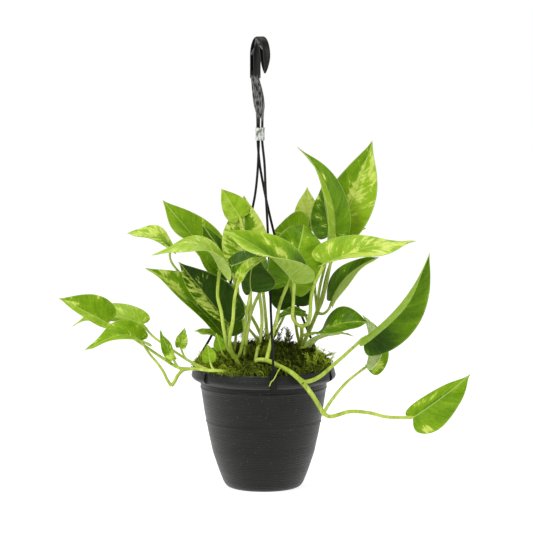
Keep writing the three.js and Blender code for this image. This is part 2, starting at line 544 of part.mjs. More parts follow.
// A point of the blade's middle surface, from its place on the flat outline.
function bladePoint(row, along, across) {
  const { base, tip, faces, half, fold, open = [0, 0], arch = 0, sway = 0, lean = 0, twist = 0 } = row;
  const start = vector(base);
  const chord = vector(tip).sub(start);
  const length = chord.length();
  const forward = chord.clone().normalize();
  const face = vector(faces);
  face.addScaledVector(forward, -face.dot(forward)).normalize();
  face.applyAxisAngle(forward, degrees(twist * (along - 0.3)));
  const right = new THREE.Vector3().crossVectors(forward, face);
  const early = 1 + lean * (1 - 2 * along);
  const bow = 4 * along * (1 - along) * early;
  const slope = 4 * ((1 - 2 * along) * early - 2 * lean * along * (1 - along)) / length;
  const heading = forward.clone().addScaledVector(face, arch * slope).addScaledVector(right, sway * slope);
  heading.normalize();
  const out = right.clone().addScaledVector(heading, -right.dot(heading)).normalize();
  const up = new THREE.Vector3().crossVectors(out, heading);
  const hand = across < 0 ? 0 : 1;
  const reach = across * (Array.isArray(half) ? half[hand] : half);
  const lift = degrees(fold[hand] - open[hand] * THREE.MathUtils.clamp(along, 0, 1));
  return start.addScaledVector(forward, along * length)
    .addScaledVector(face, arch * bow)
    .addScaledVector(right, sway * bow)
    .addScaledVector(out, reach * Math.cos(lift))
    .addScaledVector(up, Math.abs(reach) * Math.sin(lift));
}

function bladeSolid(row) {
  const points = [];
  const onMidrib = [];
  const places = new Map();
  function indexAt(along, across) {
    const key = `${along.toFixed(4)} ${across.toFixed(4)}`;
    if (!places.has(key)) {
      places.set(key, points.length);
      points.push(bladePoint(row, along, across));
      onMidrib.push(across === 0 ? 1 - along : 0);
    }
    return places.get(key);
  }
  const faces = [];
  for (const side of [-1, 1]) {
    const grid = heartMargin.map(([along, out, rib]) => {
      const line = [];
      for (let column = 0; column <= BLADE_COLUMNS; column++) {
        const share = column / BLADE_COLUMNS;
        line.push(indexAt(rib + (along - rib) * share ** 1.3, side * out * share));
      }
      return line;
    });
    for (let i = 0; i + 1 < grid.length; i++) {
      for (let j = 0; j < BLADE_COLUMNS; j++) {
        const [a, b, c, d] = [grid[i][j], grid[i][j + 1], grid[i + 1][j + 1], grid[i + 1][j]];
        for (const corners of [[a, b, c], [a, c, d]]) {
          if (new Set(corners).size < 3) continue;
          faces.push(side > 0 ? corners : [...corners].reverse());
        }
      }
    }
  }
  return thicken(points, faces, onMidrib);
}

// Gives a sheet of triangles its thickness: both faces, and a narrow wall round the margin.
function thicken(points, faces, onMidrib) {
  const normals = points.map(() => new THREE.Vector3());
  for (const [a, b, c] of faces) {
    const normal = new THREE.Vector3().crossVectors(
      points[b].clone().sub(points[a]), points[c].clone().sub(points[a]));
    for (const corner of [a, b, c]) normals[corner].add(normal);
  }
  const vertices = [];
  for (const side of [1, -1]) {
    points.forEach((point, i) => {
      const offset = side * BLADE_THICKNESS / 2 - (side < 0 ? MIDRIB_PROUD * onMidrib[i] : 0);
      vertices.push(...point.clone().addScaledVector(normals[i].normalize(), offset));
    });
  }
  const count = points.length;
  const triangles = [];
  const edges = new Map();
  for (const [a, b, c] of faces) {
    triangles.push(a, b, c, count + c, count + b, count + a);
    for (const [from, to] of [[a, b], [b, c], [c, a]]) {
      if (!edges.delete(`${to} ${from}`)) edges.set(`${from} ${to}`, [from, to]);
    }
  }
  for (const [from, to] of edges.values()) {
    triangles.push(to, from, count + from, to, count + from, count + to);
  }
  return new wasm.Manifold(new wasm.Mesh({
    numProp: 3,
    vertProperties: new Float32Array(vertices),
    triVerts: new Uint32Array(triangles),
  }));
}

// ---------------------------------------------------------------- soil and moss
function soilSolid() {
  const side = bodyProfile.filter(([, z], i) => z > POT_FLOOR + GAP + 1 && z < SOIL_TOP && i % 3 === 0)
    .map(([r, z]) => [r - POT_WALL - 1.2, z]);
  const foot = [bodyRadius(POT_FLOOR) - POT_WALL - 2, POT_FLOOR + GAP];
  const top = [bodyRadius(SOIL_TOP) - POT_WALL - 1.2, SOIL_TOP];
  return solidOf(lathe([[0, POT_FLOOR + GAP], foot, ...side, top, [0, SOIL_TOP]], 24));
}

// The moss is heaped over the soil and up to the rim, in lumps given by a sum of waves.
function mossSolid() {
  const rows = [
    [0, SOIL_TOP + GAP], [MOSS_FOOT_RADIUS, SOIL_TOP + GAP], [MOSS_FOOT_RADIUS, 125.6], [76.6, 127.4],
    [76.8, 137], [76, 141], [70, 146], [60, 150.5], [48, 154], [36, 156], [24, 157.4], [12, 158],
    [0, MOSS_HEIGHT],
  ];
  const geometry = lathe(rows, 32);
  const position = geometry.attributes.position;
  for (let i = 0; i < position.count; i++) {
    const [x, y, z] = [position.getX(i), position.getY(i), position.getZ(i)];
    if (z < 138) continue;
    const lumps = Math.sin(x * 0.21 + 0.6) * Math.cos(y * 0.19 + 1.1) + 0.6 * Math.sin(x * 0.43 - y * 0.37);
    const front = THREE.MathUtils.clamp((-y - 5) / 65, 0, 1); // lower towards the front
    const share = THREE.MathUtils.clamp((z - 138) / 14, 0, 1);
    position.setZ(i, z + (lumps * 2.6 - front * 13) * share);
  }
  return solidOf(geometry);
}

// ---------------------------------------------------------------- assembly
const hanger = fuse([hookSolid(), strapSolid(), ...strandSolids()]);
place('pot', potSolid(), BLACK_PLASTIC);
place('hanger', hanger, HANGER_PLASTIC);
place('tape_band', tapeSolid(), CLEAR_TAPE);

function branchCurve({ leaf, route }) {
  return routeThrough(leaf ? [...route, leaves[leaf].base] : route);
}

function branchSolid(branch, extra) {
  const curve = branchCurve(branch);
  const length = curve.getLength();
  const end = branch.leaf ? length - KNEE_LENGTH - GAP + extra : length;
  const steps = Math.max(2, Math.round(end / 20));
  return bar(curve, 0, end, branch.radii[0] + extra, branch.radii[1] + extra, steps, STEM_SIDES);
}

const stemSolids = {};
const stemSpace = [];
for (const [name, branches] of Object.entries(stems)) {
  stemSolids[name] = fuse(branches.map((branch) => branchSolid(branch, 0)));
  stemSpace.push(...branches.map((branch) => branchSolid(branch, GAP + 0.1)));
}
const stemCut = fuse(stemSpace);

place('soil', soilSolid().subtract(stemCut), POTTING_SOIL);
place('moss', mossSolid().subtract(stemCut), MOSS_GREEN);
for (const [name, solid] of Object.entries(stemSolids)) place(name, solid, STEM_GREEN);

// The knee is the last stretch of the petiole's curve, and runs a little way into the blade.
function kneeSolid(name) {
  const branch = Object.values(stems).flat().find(({ leaf }) => leaf === name);
  const curve = branchCurve(branch);
  const length = curve.getLength();
  const { base, tip } = leaves[name];
  const forward = vector(tip).sub(vector(base)).normalize();
  const end = curve.getPointAt(1).addScaledVector(forward, KNEE_INTO_BLADE);
  const knee = routeThrough([
    curve.getPointAt(1 - KNEE_LENGTH / length).toArray(),
    curve.getPointAt(1 - KNEE_LENGTH / 2 / length).toArray(),
    curve.getPointAt(1).toArray(),
    end.toArray(),
  ]);
  return bar(knee, 0, knee.getLength(), branch.radii[1], KNEE_END_RADIUS, 2, KNEE_SIDES);
}

for (const [name, row] of Object.entries(leaves)) {
  place(name, bladeSolid(row).add(kneeSolid(name)), LEAF_GREEN);
}

export default model;
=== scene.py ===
# A variegated pothos in a black hanging pot, dressed for a studio photograph.
# The frame is in metres; the sizes below are millimetres times MM.
import math
import random

import bpy
import numpy as np
from mathutils import Matrix, Vector, noise


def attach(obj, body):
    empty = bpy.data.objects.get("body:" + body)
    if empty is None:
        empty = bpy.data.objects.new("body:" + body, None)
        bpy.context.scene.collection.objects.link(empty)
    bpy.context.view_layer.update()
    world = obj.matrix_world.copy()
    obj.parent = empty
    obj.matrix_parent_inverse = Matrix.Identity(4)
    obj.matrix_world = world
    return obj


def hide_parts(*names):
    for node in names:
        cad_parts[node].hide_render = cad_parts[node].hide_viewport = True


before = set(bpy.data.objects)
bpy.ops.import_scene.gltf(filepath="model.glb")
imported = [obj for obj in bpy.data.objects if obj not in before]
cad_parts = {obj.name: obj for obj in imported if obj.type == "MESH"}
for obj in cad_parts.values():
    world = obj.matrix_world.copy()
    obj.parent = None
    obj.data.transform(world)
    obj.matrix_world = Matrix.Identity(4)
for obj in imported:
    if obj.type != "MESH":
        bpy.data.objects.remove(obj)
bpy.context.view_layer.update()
MM = 0.001

# ---------------------------------------------------------------- studio
# The plant stands on a plain white ground and is taken with a long lens, a little from above.
# Large soft lights stand overhead and at both sides, and the white walls fill the rest.
CAMERA_DISTANCE = 3180 * MM
CAMERA_TARGET = Vector((3.3, 0, 252.3)) * MM
CAMERA_PITCH = math.radians(6.2)
CAMERA_LENS = 189.1
GROUND_WHITE = (0.4, 0.4, 0.4, 1)
GROUND_GLOW = 0.82
WALL_LIGHT = 0.45
SOFTBOX_AIM = Vector((0, 0, 0.22))
SOFTBOXES = [
    # place, size in metres, power in watts
    ((-0.9, -1.5, 1.9), 1.0, 40),
    ((0.3, 0.5, 2.2), 1.3, 14),
    ((1.9, -0.7, 1.0), 1.1, 12),
    ((-1.9, 0.2, 0.8), 1.0, 9),
]

bpy.ops.object.select_all(action='DESELECT')
behind = Vector((0, -math.cos(CAMERA_PITCH), math.sin(CAMERA_PITCH)))
bpy.ops.object.camera_add(location=CAMERA_TARGET + behind * CAMERA_DISTANCE,
                          rotation=(math.pi / 2 - CAMERA_PITCH, 0, 0))
camera = bpy.context.object
camera.data.lens = CAMERA_LENS
camera.data.sensor_width = 36
bpy.context.scene.camera = camera

for place, size, power in SOFTBOXES:
    aim = (SOFTBOX_AIM - Vector(place)).to_track_quat('-Z', 'Y')
    bpy.ops.object.light_add(type='AREA', location=place, rotation=aim.to_euler())
    softbox = bpy.context.object.data
    softbox.size = size
    softbox.energy = power

world = bpy.data.worlds.new("white_studio")
world.use_nodes = True
world.node_tree.nodes["Background"].inputs["Color"].default_value = (1, 1, 1, 1)
world.node_tree.nodes["Background"].inputs["Strength"].default_value = WALL_LIGHT
bpy.context.scene.world = world
bpy.context.scene.view_settings.view_transform = 'Standard'

bpy.ops.mesh.primitive_plane_add(size=160, location=(0, 0, -0.2 * MM))
ground = bpy.context.object
ground.name = "ground"


class Wire:
    """A socket in a material. Arithmetic on it adds Math nodes, and add() adds any other node."""

    def __init__(self, tree, socket=None):
        self.tree = tree
        self.socket = socket

    def add(self, kind, settings=None, sockets=None, result=0):
        node = self.tree.nodes.new(kind)
        for name, value in (settings or {}).items():
            if name == 'stops':
                ramp = node.color_ramp.elements
                while len(ramp) < len(value):
                    ramp.new(1)
                for stop, (place, colour) in zip(ramp, value):
                    stop.position = place
                    stop.color = (*colour, 1)
            else:
                setattr(node, name, value)
        for name, value in (sockets or {}).items():
            if isinstance(value, Wire):
                self.tree.links.new(value.socket, node.inputs[name])
            else:
                node.inputs[name].default_value = value
        return Wire(self.tree, node.outputs[result])

    def math(self, operation, *values):
        return self.add('ShaderNodeMath', {'operation': operation}, dict(enumerate(values)))

    def __add__(self, other):
        return self.math('ADD', self, other)

    def __radd__(self, other):
        return self.math('ADD', other, self)

    def __sub__(self, other):
        return self.math('SUBTRACT', self, other)

    def __rsub__(self, other):
        return self.math('SUBTRACT', other, self)

    def __mul__(self, other):
        return self.math('MULTIPLY', self, other)

    def __rmul__(self, other):
        return self.math('MULTIPLY', other, self)

    def between(self, low, high):
        """0 below low, 1 above high, and smooth between them."""
        return self.add('ShaderNodeMapRange', {'interpolation_type': 'SMOOTHSTEP'},
                        {'Value': self, 'From Min': low, 'From Max': high})

    def read(self, name):
        """A number that the piece's mesh holds at each point."""
        return self.add('ShaderNodeAttribute', {'attribute_name': name}, result='Fac')

    def place(self):
        return self.add('ShaderNodeTexCoord', result='Object')

    def noise(self, vector, scale, detail=3):
        return self.add('ShaderNodeTexNoise', None, {'Vector': vector, 'Scale': scale, 'Detail': detail})

    def stretched(self, vector, factors):
        return self.add('ShaderNodeVectorMath', {'operation': 'MULTIPLY'}, {0: vector, 1: factors})

    def ramp(self, stops):
        return self.add('ShaderNodeValToRGB', {'stops': stops}, {'Fac': self})

    def painted(self, base, over):
        """base, covered by the colour over where this mask is 1."""
        return self.add('ShaderNodeMix', {'data_type': 'RGBA'},
                        {'Factor': self, 6: as_colour(base), 7: as_colour(over)}, result=2)

    def bump(self, height, strength=0.3, depth=1 * MM):
        return self.add('ShaderNodeBump', None,
                        {'Height': height, 'Strength': strength, 'Distance': depth})


def as_colour(colour):
    return colour if isinstance(colour, Wire) else (*colour, 1)


def finish(name, build):
    """A new material. build gets its empty wire and returns the values of the surface's sockets."""
    material = bpy.data.materials.new(name)
    material.use_nodes = True
    surface = material.node_tree.nodes["Principled BSDF"]
    for socket, value in build(Wire(material.node_tree)).items():
        if isinstance(value, Wire):
            material.node_tree.links.new(value.socket, surface.inputs[socket])
        else:
            surface.inputs[socket].default_value = value
    return material


def plain_ground(wire):
    return {'Base Color': GROUND_WHITE, 'Roughness': 0.9, 'Specular IOR Level': 0.05,
            'Emission Color': (1, 1, 1, 1), 'Emission Strength': GROUND_GLOW}


ground.data.materials.append(finish("plain_ground", plain_ground))


# ---------------------------------------------------------------- pot
# An injection-moulded hanging pot of black polypropylene. The body widens upwards with two raised
# rings, and the turned-out rim has six pockets for the hanger's clips. Dust sits on the plastic.
POT_HEIGHT = 138
POT_WALL = 1.8
POT_FLOOR = 2.4
RIDGES = (75.5, 114.9)
RIDGE_HEIGHT = 0.7
RIDGE_HALF = 1.2
POCKETS = 6
POCKET_FIRST = -82
POCKET_PLANE = 79.2
POCKET_SIZE = (6, 8, 36)
DRAINS = 6
DRAIN_RADIUS = 4
DRAIN_CIRCLE = 27
BODY = [(46, 6.5), (50.5, 17.8), (54.5, 29.4), (58.2, 40.9), (60.7, 52.4), (63.2, 63.9), (65.3, 75.5),
        (67.5, 86.9), (69.2, 98.4), (71.6, 114.9), (72.2, 121.2)]
FOOT = [(0.02, 0.9), (30, 0.9), (34, 0.8), (36, 0), (39.6, 0.1), (41.6, 0.9), (43.3, 2.3), (44.6, 4)]
RIM = [(73.2, 121.8), (76.4, 122.8), (79.6, 124.6), (81.6, 126.6), (82.3, 128.4), (82.1, 129.8),
       (80.4, 136), (80, 137.2), (79.2, 138), (78.2, 138), (77.7, 137.4), (77.6, 126.4), (76.6, 125),
       (71.4, 123.8), (70.4, 122)]


def alone(piece):
    """Leaves only this piece selected and active."""
    bpy.ops.object.select_all(action='DESELECT')
    piece.select_set(True)
    bpy.context.view_layer.objects.active = piece


def modified(piece, kind, **settings):
    """Adds a modifier with these settings and applies it."""
    alone(piece)
    bpy.ops.object.modifier_add(type=kind)
    modifier = piece.modifiers[-1]
    for name, value in settings.items():
        setattr(modifier, name, value)
    bpy.ops.object.modifier_apply(modifier=modifier.name)


def settled(piece, smooth=40):
    """Puts the piece's place into its mesh and shades it smooth, but for edges sharper than this."""
    alone(piece)
    bpy.ops.object.transform_apply(location=True, rotation=True, scale=True)
    bpy.ops.object.shade_smooth_by_angle(angle=math.radians(smooth))
    return piece


def edited(piece, **steps):
    """Runs these edit-mode operators on the whole of a piece, each with its settings."""
    alone(piece)
    bpy.ops.object.mode_set(mode='EDIT')
    for operator, settings in steps.items():
        bpy.ops.mesh.select_all(action='SELECT')
        getattr(bpy.ops.mesh, operator)(**settings)
    bpy.ops.object.mode_set(mode='OBJECT')
    return piece


def coated(piece, material):
    """Gives a piece this material alone."""
    piece.data.materials.clear()
    piece.data.materials.append(material)


def handed_over(piece, node=None):
    """Puts a finished piece on the one body and in its plain node's place."""
    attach(piece, "root")
    if node:
        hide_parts(node)


def on_curve(points, spans_each):
    """A smooth curve through points of any number of dimensions, with this many steps a span."""
    points = [Vector(point) for point in points]
    ends = [2 * points[0] - points[1], *points, 2 * points[-1] - points[-2]]
    curve = [points[0]]
    for p0, p1, p2, p3 in zip(ends, ends[1:], ends[2:], ends[3:]):
        t0 = max((p1 - p0).length, 1e-9) ** 0.5
        t1 = t0 + max((p2 - p1).length, 1e-9) ** 0.5
        t2 = t1 + max((p3 - p2).length, 1e-9) ** 0.5
        for step in range(1, spans_each + 1):
            t = t0 + (t1 - t0) * step / spans_each
            a1 = p0 * (t0 - t) / t0 + p1 * t / t0
            a2 = p1 * (t1 - t) / (t1 - t0) + p2 * (t - t0) / (t1 - t0)
            a3 = p2 * (t2 - t) / (t2 - t1) + p3 * (t - t1) / (t2 - t1)
            b1 = a1 * (t1 - t) / t1 + a2 * t / t1
            b2 = a2 * (t2 - t) / (t2 - t0) + a3 * (t - t0) / (t2 - t0)
            curve.append(b1 * (t1 - t) / (t1 - t0) + b2 * (t - t0) / (t1 - t0))
    return curve


def turned(name, profile, segments):
    """A profile of radii and heights, drawn from one point and spun about the upright axis."""
    start = Vector((profile[0][0], 0, profile[0][1])) * MM
    bpy.ops.mesh.primitive_plane_add(size=1 * MM, location=start)
    piece = bpy.context.object
    piece.name = name
    bpy.ops.object.mode_set(mode='EDIT')
    bpy.ops.mesh.merge(type='CENTER')
    for before, after in zip(profile, profile[1:]):
        step = Vector((after[0] - before[0], 0, after[1] - before[1])) * MM
        bpy.ops.mesh.extrude_region_move(TRANSFORM_OT_translate={'value': step})
    bpy.ops.object.mode_set(mode='OBJECT')
    edited(piece, spin={'steps': segments, 'angle': 2 * math.pi, 'center': (0, 0, 0), 'axis': (0, 0, 1)},
           remove_doubles={'threshold': 0.01 * MM}, normals_make_consistent={'inside': False})
    return settled(piece)


def cut_out(piece, cutters):
    """Takes the cutters out of a piece, as one joined shape."""
    alone(cutters[0])
    for cutter in cutters[1:]:
        cutter.select_set(True)
    bpy.ops.object.join()
    tool = bpy.context.object
    modified(piece, 'BOOLEAN', operation='DIFFERENCE', solver='EXACT', object=tool)
    bpy.data.objects.remove(tool)


body_curve = on_curve(BODY, 6)
ridged = []
for radius, height in body_curve:
    nearest = min(abs(height - ridge) for ridge in RIDGES)
    ridged.append((radius + RIDGE_HEIGHT * max(0, 1 - (nearest / RIDGE_HALF) ** 2), height))
inside = [(radius - POT_WALL, height) for radius, height in body_curve[::-3] if 4 < height < 120]
pot = turned("pot_shell", [*FOOT, *ridged, *RIM, *inside, (42.4, 3), (40, POT_FLOOR), (0.02, POT_FLOOR)], 120)

cutters = []
for i in range(POCKETS):
    turn = math.radians(POCKET_FIRST + i * 360 / POCKETS)
    middle = Vector((math.cos(turn), math.sin(turn), 0)) * (POCKET_PLANE + 3) * MM
    bpy.ops.mesh.primitive_cube_add(size=1, location=(middle.x, middle.y, POT_HEIGHT * MM),
                                    rotation=(0, 0, turn), scale=Vector(POCKET_SIZE) * MM)
    cutters.append(bpy.context.object)
for i in range(DRAINS):
    turn = math.radians(i * 360 / DRAINS)
    circle = DRAIN_CIRCLE * MM
    bpy.ops.mesh.primitive_cylinder_add(vertices=32, radius=DRAIN_RADIUS * MM, depth=12 * MM,
                                        location=(circle * math.cos(turn), circle * math.sin(turn), 0))
    cutters.append(bpy.context.object)
cut_out(pot, cutters)
settled(pot)


def black_pot_plastic(wire):
    place = wire.place()
    height = wire.add('ShaderNodeSeparateXYZ', None, {0: place}, result='Z')
    dust = wire.noise(place, 900, 2).between(0.72, 0.75)
    grime = wire.noise(wire.stretched(place, (1, 1, 3)), 30, 5)
    turning = wire.noise(wire.stretched(place, (0.3, 0.3, 14)), 60, 3)
    grooves = (height * 3100).math('SINE', height * 3100) * 0.5
    under_rim = height.between(0.108, 0.113) * (1 - height.between(0.119, 0.124))
    colour = (grime * 0.6 + turning * 0.4).between(0.35, 0.75).painted((0.004, 0.004, 0.003),
                                                                       (0.009, 0.009, 0.0075))
    return {
        'Base Color': (dust * 0.9).painted(colour, (0.3, 0.3, 0.27)),
        'Roughness': 0.36 + grime * 0.2 + dust * 0.2 - under_rim * 0.06,
        'Specular IOR Level': 0.19,
        'Sheen Weight': 0.16,
        'Sheen Roughness': 0.5,
        'Normal': wire.bump(grooves * 0.5 + turning * 1.8 + grime * 0.2, 0.7, 0.5 * MM),
    }


coated(pot, finish("black_pot_plastic", black_pot_plastic))
handed_over(pot, "pot")


# ---------------------------------------------------------------- soil and moss
# Dark potting soil fills the pot, and a live cushion of feathery moss covers it up to the rim.
# The moss is a lumpy bed with thousands of small shoots, bright at the left and olive elsewhere.
MOSS_UNDERSIDE = 118.3
MOSS_FOOT = 69.4
MOSS_PROFILE = [(76.4, 127.5), (76.6, 137), (75.4, 141), (70, 146), (60, 150.5), (48, 154), (36, 156),
                (24, 157.4), (12, 158), (0.02, 158)]
MOSS_REACH = 75.5
BRIGHT_EDGE = -38
SHOOT_SEED = 7
BRIGHT_SHOOTS = 1500
OLIVE_SHOOTS = 2100
WIRY_SHOOTS = 2600
SPILLED = 260
SPILL_SPREAD = (205, 32)
SPRIG_SHOOTS = 16
SPRIGS = [
    # place, heading, length and hue of the tall ferny sprigs that stand out of the moss; those at the
    # centre and back, under the leaves, get low hues, painted shade under the foliage
    ((58, -36, 144), (0.1, -0.3, 1), 24, 0.9), ((62, -30, 145), (0.35, -0.3, 1), 20, 0.85),
    ((53, -40, 143), (-0.3, -0.4, 1), 17, 0.8), ((66, -30, 143), (0.9, -0.2, 0.7), 16, 0.85),
    ((66, -22, 152), (1, 0, 0.2), 15, 0.8), ((-8, -30, 153), (0.1, -0.2, 1), 24, 0.6),
    ((-3, -36, 152), (0.5, -0.2, 1), 18, 0.55), ((-14, -34, 152), (-0.4, -0.2, 1), 17, 0.5),
    ((-60, -30, 146), (-0.2, -0.3, 1), 14, 0.9), ((-66, -18, 146), (-0.5, -0.2, 1), 12, 0.85),
    ((14, 4, 156), (0.3, 0, 1), 28, 0.5),
    ((22, -4, 155), (0.2, 0, 1), 30, 0.45), ((30, 4, 155), (-0.1, 0, 1), 26, 0.5),
    ((10, 16, 156), (0.1, 0.1, 1), 28, 0.45), ((26, 18, 155), (0.2, 0.2, 1), 24, 0.45),
    ((36, -12, 152), (0.2, -0.2, 1), 20, 0.5), ((48, -4, 150), (0.4, 0, 1), 18, 0.5),
    ((54, 8, 149), (0.3, 0, 1), 16, 0.5),
    ((-20, 10, 156), (-0.2, 0, 1), 24, 0.3), ((0, 2, 157), (0, 0, 1), 22, 0.35),
]


def crumbly_soil(wire):
    place = wire.place()
    crumbs = wire.noise(place, 500, 6)
    return {
        'Base Color': crumbs.ramp([(0.3, (0.008, 0.005, 0.003)), (0.6, (0.03, 0.018, 0.01)),
                                   (0.8, (0.09, 0.06, 0.035))]),
        'Roughness': 0.95,
        'Specular IOR Level': 0.1,
        'Normal': wire.bump(crumbs, 0.8, 2 * MM),
    }


coated(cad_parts["soil"], finish("crumbly_soil", crumbly_soil))


def mound_height(x, y, height):
    """The height in millimetres of the moss bed at a place, lower towards the front."""
    lumps = math.sin(x * 0.21 + 0.6) * math.cos(y * 0.19 + 1.1) + 0.6 * math.sin(x * 0.43 - y * 0.37)
    front = min(1, max(0, (-y - 5) / 65))
    share = min(1, max(0, (height - 138) / 14))
    return height + (lumps * 2.6 - front * 13) * share


bed_profile = [(0.02, MOSS_UNDERSIDE), (MOSS_FOOT, MOSS_UNDERSIDE), (MOSS_FOOT, 125.6),
               *on_curve(MOSS_PROFILE, 5)]
moss_bed = turned("moss_bed", bed_profile, 96)
for vertex in moss_bed.data.vertices:
    x, y, z = vertex.co / MM
    if z > 138:
        rough = noise.noise(Vector((x, y, z)) * 0.22) * 1.6 + noise.noise(Vector((x, y, z)) * 0.5) * 0.8
        vertex.co.z = (mound_height(x, y, z) + rough * min(1, (z - 138) / 4)) * MM
settled(moss_bed, 180)


def green_moss(wire):
    place = wire.place()
    hue = wire.read("hue")
    patches = wire.noise(place, 60, 3)
    return {
        'Base Color': (hue + patches * 0.25 - 0.12).ramp([
            (0.0, (0.006, 0.008, 0.001)), (0.3, (0.028, 0.036, 0.003)), (0.55, (0.1, 0.135, 0.007)),
            (0.8, (0.27, 0.36, 0.02)), (1.0, (0.46, 0.56, 0.06))]),
        'Roughness': 0.8,
        'Specular IOR Level': 0.1,
        'Normal': wire.bump(wire.noise(place, 1500, 2), 0.4, 0.4 * MM),
    }


moss_finish = finish("green_moss", green_moss)


def number_mesh(piece, name, values):
    """Stores one number for each point of the piece's mesh."""
    piece.data.attributes.new(name, 'FLOAT', 'POINT').data.foreach_set("value", values)


number_mesh(moss_bed, "hue", [0.1] * len(moss_bed.data.vertices))
coated(moss_bed, moss_finish)
handed_over(moss_bed, "moss")


def feather(leaflets):
    """One moss shoot a unit high: a thin tapering stem with pairs of narrow leaflets."""
    points = [(0.035, 0, 0), (-0.02, 0.03, 0), (-0.02, -0.03, 0), (0.06, 0, 1)]
    faces = [(0, 2, 1), (0, 1, 3), (1, 2, 3), (2, 0, 3)]
    for i in range(leaflets):
        level = 0.14 + 0.78 * i / leaflets
        reach = 0.34 * (1 - 0.6 * level)
        for side in (-1, 1):
            first = len(points)
            points += [(0, 0, level), (0.03, 0.05 * side, level - 0.07), (-0.03, 0.05 * side, level - 0.05),
                       (0.05, reach * side, level + 0.2)]
            corners = [(0, 1, 2), (1, 0, 3), (2, 1, 3), (0, 2, 3)]
            if side < 0:
                corners = [corner[::-1] for corner in corners]
            faces += [tuple(first + k for k in corner[::-1]) for corner in corners]
    return np.array(points), np.array(faces)


def curl(segments):
    """One wiry moss strand about a unit long, which rises, leans over and winds as it goes."""
    points, faces = [], []
    for i in range(segments + 1):
        level = i / segments
        thick = 0.03 * (1 - 0.6 * level)
        for corner in (0, 2.09, 4.19):
            points.append((0.3 * math.sin(4.4 * level) + thick * math.cos(corner),
                           0.2 * (1 - math.cos(5.2 * level)) + thick * math.sin(corner),
                           0.8 * level - 0.3 * level ** 3))
    for i in range(0, 3 * segments, 3):
        for a, b in ((0, 1), (1, 2), (2, 0)):
            faces += [(i + a, i + b, i + b + 3), (i + a, i + b + 3, i + a + 3)]
    faces += [(2, 1, 0), (3 * segments, 3 * segments + 1, 3 * segments + 2)]
    return np.array(points), np.array(faces)


def placed(name, data):
    """A new object in the scene that holds this data."""
    piece = bpy.data.objects.new(name, data)
    bpy.context.scene.collection.objects.link(piece)
    return piece


def shoots(name, spots, draw, shape):
    """One piece of many copies of a shape. A spot is a place, a heading, a length and a hue."""
    points, faces = shape
    places, triangles, hues = [], [], []
    for index, (place, heading, length, hue) in enumerate(spots):
        turn = heading.to_track_quat('Z', 'X').to_matrix() @ Matrix.Rotation(draw.uniform(0, 6.28), 3, 'Z')
        bend = draw.uniform(-0.35, 0.35)
        bent = points.copy()
        bent[:, 0] += bend * points[:, 2] ** 2
        places.append(bent @ np.array(turn).T * length + np.array(place))
        triangles.append(faces + index * len(points))
        hues.append(np.clip(hue + points[:, 2] * 0.22, 0, 1))
    mesh = bpy.data.meshes.new(name)
    mesh.from_pydata(np.concatenate(places).tolist(), [], np.concatenate(triangles).tolist())
    piece = placed(name, mesh)
    number_mesh(piece, "hue", np.concatenate(hues).astype(np.float32))
    coated(piece, moss_finish)
    handed_over(piece)


def mound_spot(draw):
    """A random spot on the moss bed: its place and the way up from it."""
    radius = MOSS_REACH * math.sqrt(draw.random())
    turn = draw.uniform(-math.pi, math.pi)
    x, y = radius * math.cos(turn), radius * math.sin(turn)
    crown = 158 - 17 * (radius / 76) ** 4 - 3 * (radius / 76) ** 2
    lean = Vector((x, y, 0)) / 76 * 0.9
    heading = Vector((draw.gauss(0, 0.5), draw.gauss(0, 0.5), 1)) + lean
    return Vector((x, y, mound_height(x, y, crown) - 1)), heading.normalized()


draw = random.Random(SHOOT_SEED)
bright_spots, olive_spots = [], []
while len(bright_spots) < BRIGHT_SHOOTS or len(olive_spots) < OLIVE_SHOOTS:
    place, heading = mound_spot(draw)
    left = place.x + draw.gauss(0, 7) < BRIGHT_EDGE
    if left and len(bright_spots) < BRIGHT_SHOOTS:
        hue = draw.gauss(0.55, 0.14)
        bright_spots.append((place * MM, heading, draw.uniform(5, 10) * MM, hue))
    elif not left and len(olive_spots) < OLIVE_SHOOTS:
        hue = draw.gauss(0.2, 0.12) + (0.1 if place.x > 45 else 0)
        olive_spots.append((place * MM, heading, draw.uniform(5, 9) * MM, hue))
shoots("moss_bright", bright_spots, draw, feather(5))
shoots("moss_olive", olive_spots, draw, feather(5))

wiry_spots = []
for _ in range(WIRY_SHOOTS):
    place, heading = mound_spot(draw)
    heading = Vector((heading.x * 1.6, heading.y * 1.6, heading.z)).normalized()
    left = place.x + draw.gauss(0, 7) < BRIGHT_EDGE
    hue = draw.gauss(0.68, 0.1) if left else draw.gauss(0.42, 0.12)
    wiry_spots.append((place * MM, heading, draw.uniform(8, 15) * MM, hue))
for _ in range(SPILLED):
    turn = math.radians(draw.gauss(*SPILL_SPREAD))
    way = Vector((math.cos(turn), math.sin(turn), 0))
    place = way * draw.uniform(74, 79.5) + Vector((0, 0, 138.4))
    heading = (way * 0.5 + Vector((draw.gauss(0, 0.6), draw.gauss(0, 0.6), 0.5))).normalized()
    wiry_spots.append((place * MM, heading, draw.uniform(5, 10) * MM, draw.gauss(0.62, 0.1)))
shoots("moss_wiry", wiry_spots, draw, curl(7))

sprig_spots = []
for place, heading, length, hue in SPRIGS:
    heading = Vector(heading).normalized()
    for step in range(SPRIG_SHOOTS):
        out = Vector((draw.gauss(0, 1), draw.gauss(0, 1), draw.gauss(0.3, 0.5))) * 0.8 + heading
        spot = Vector(place) + heading * length * (step + 1) / (SPRIG_SHOOTS + 2)
        sprig_spots.append((spot * MM, out.normalized(), draw.uniform(5, 8) * MM, hue))
    sprig_spots.append((Vector(place) * MM, heading, length * 0.9 * MM, hue - 0.2))
shoots("moss_sprigs", sprig_spots, draw, feather(4))


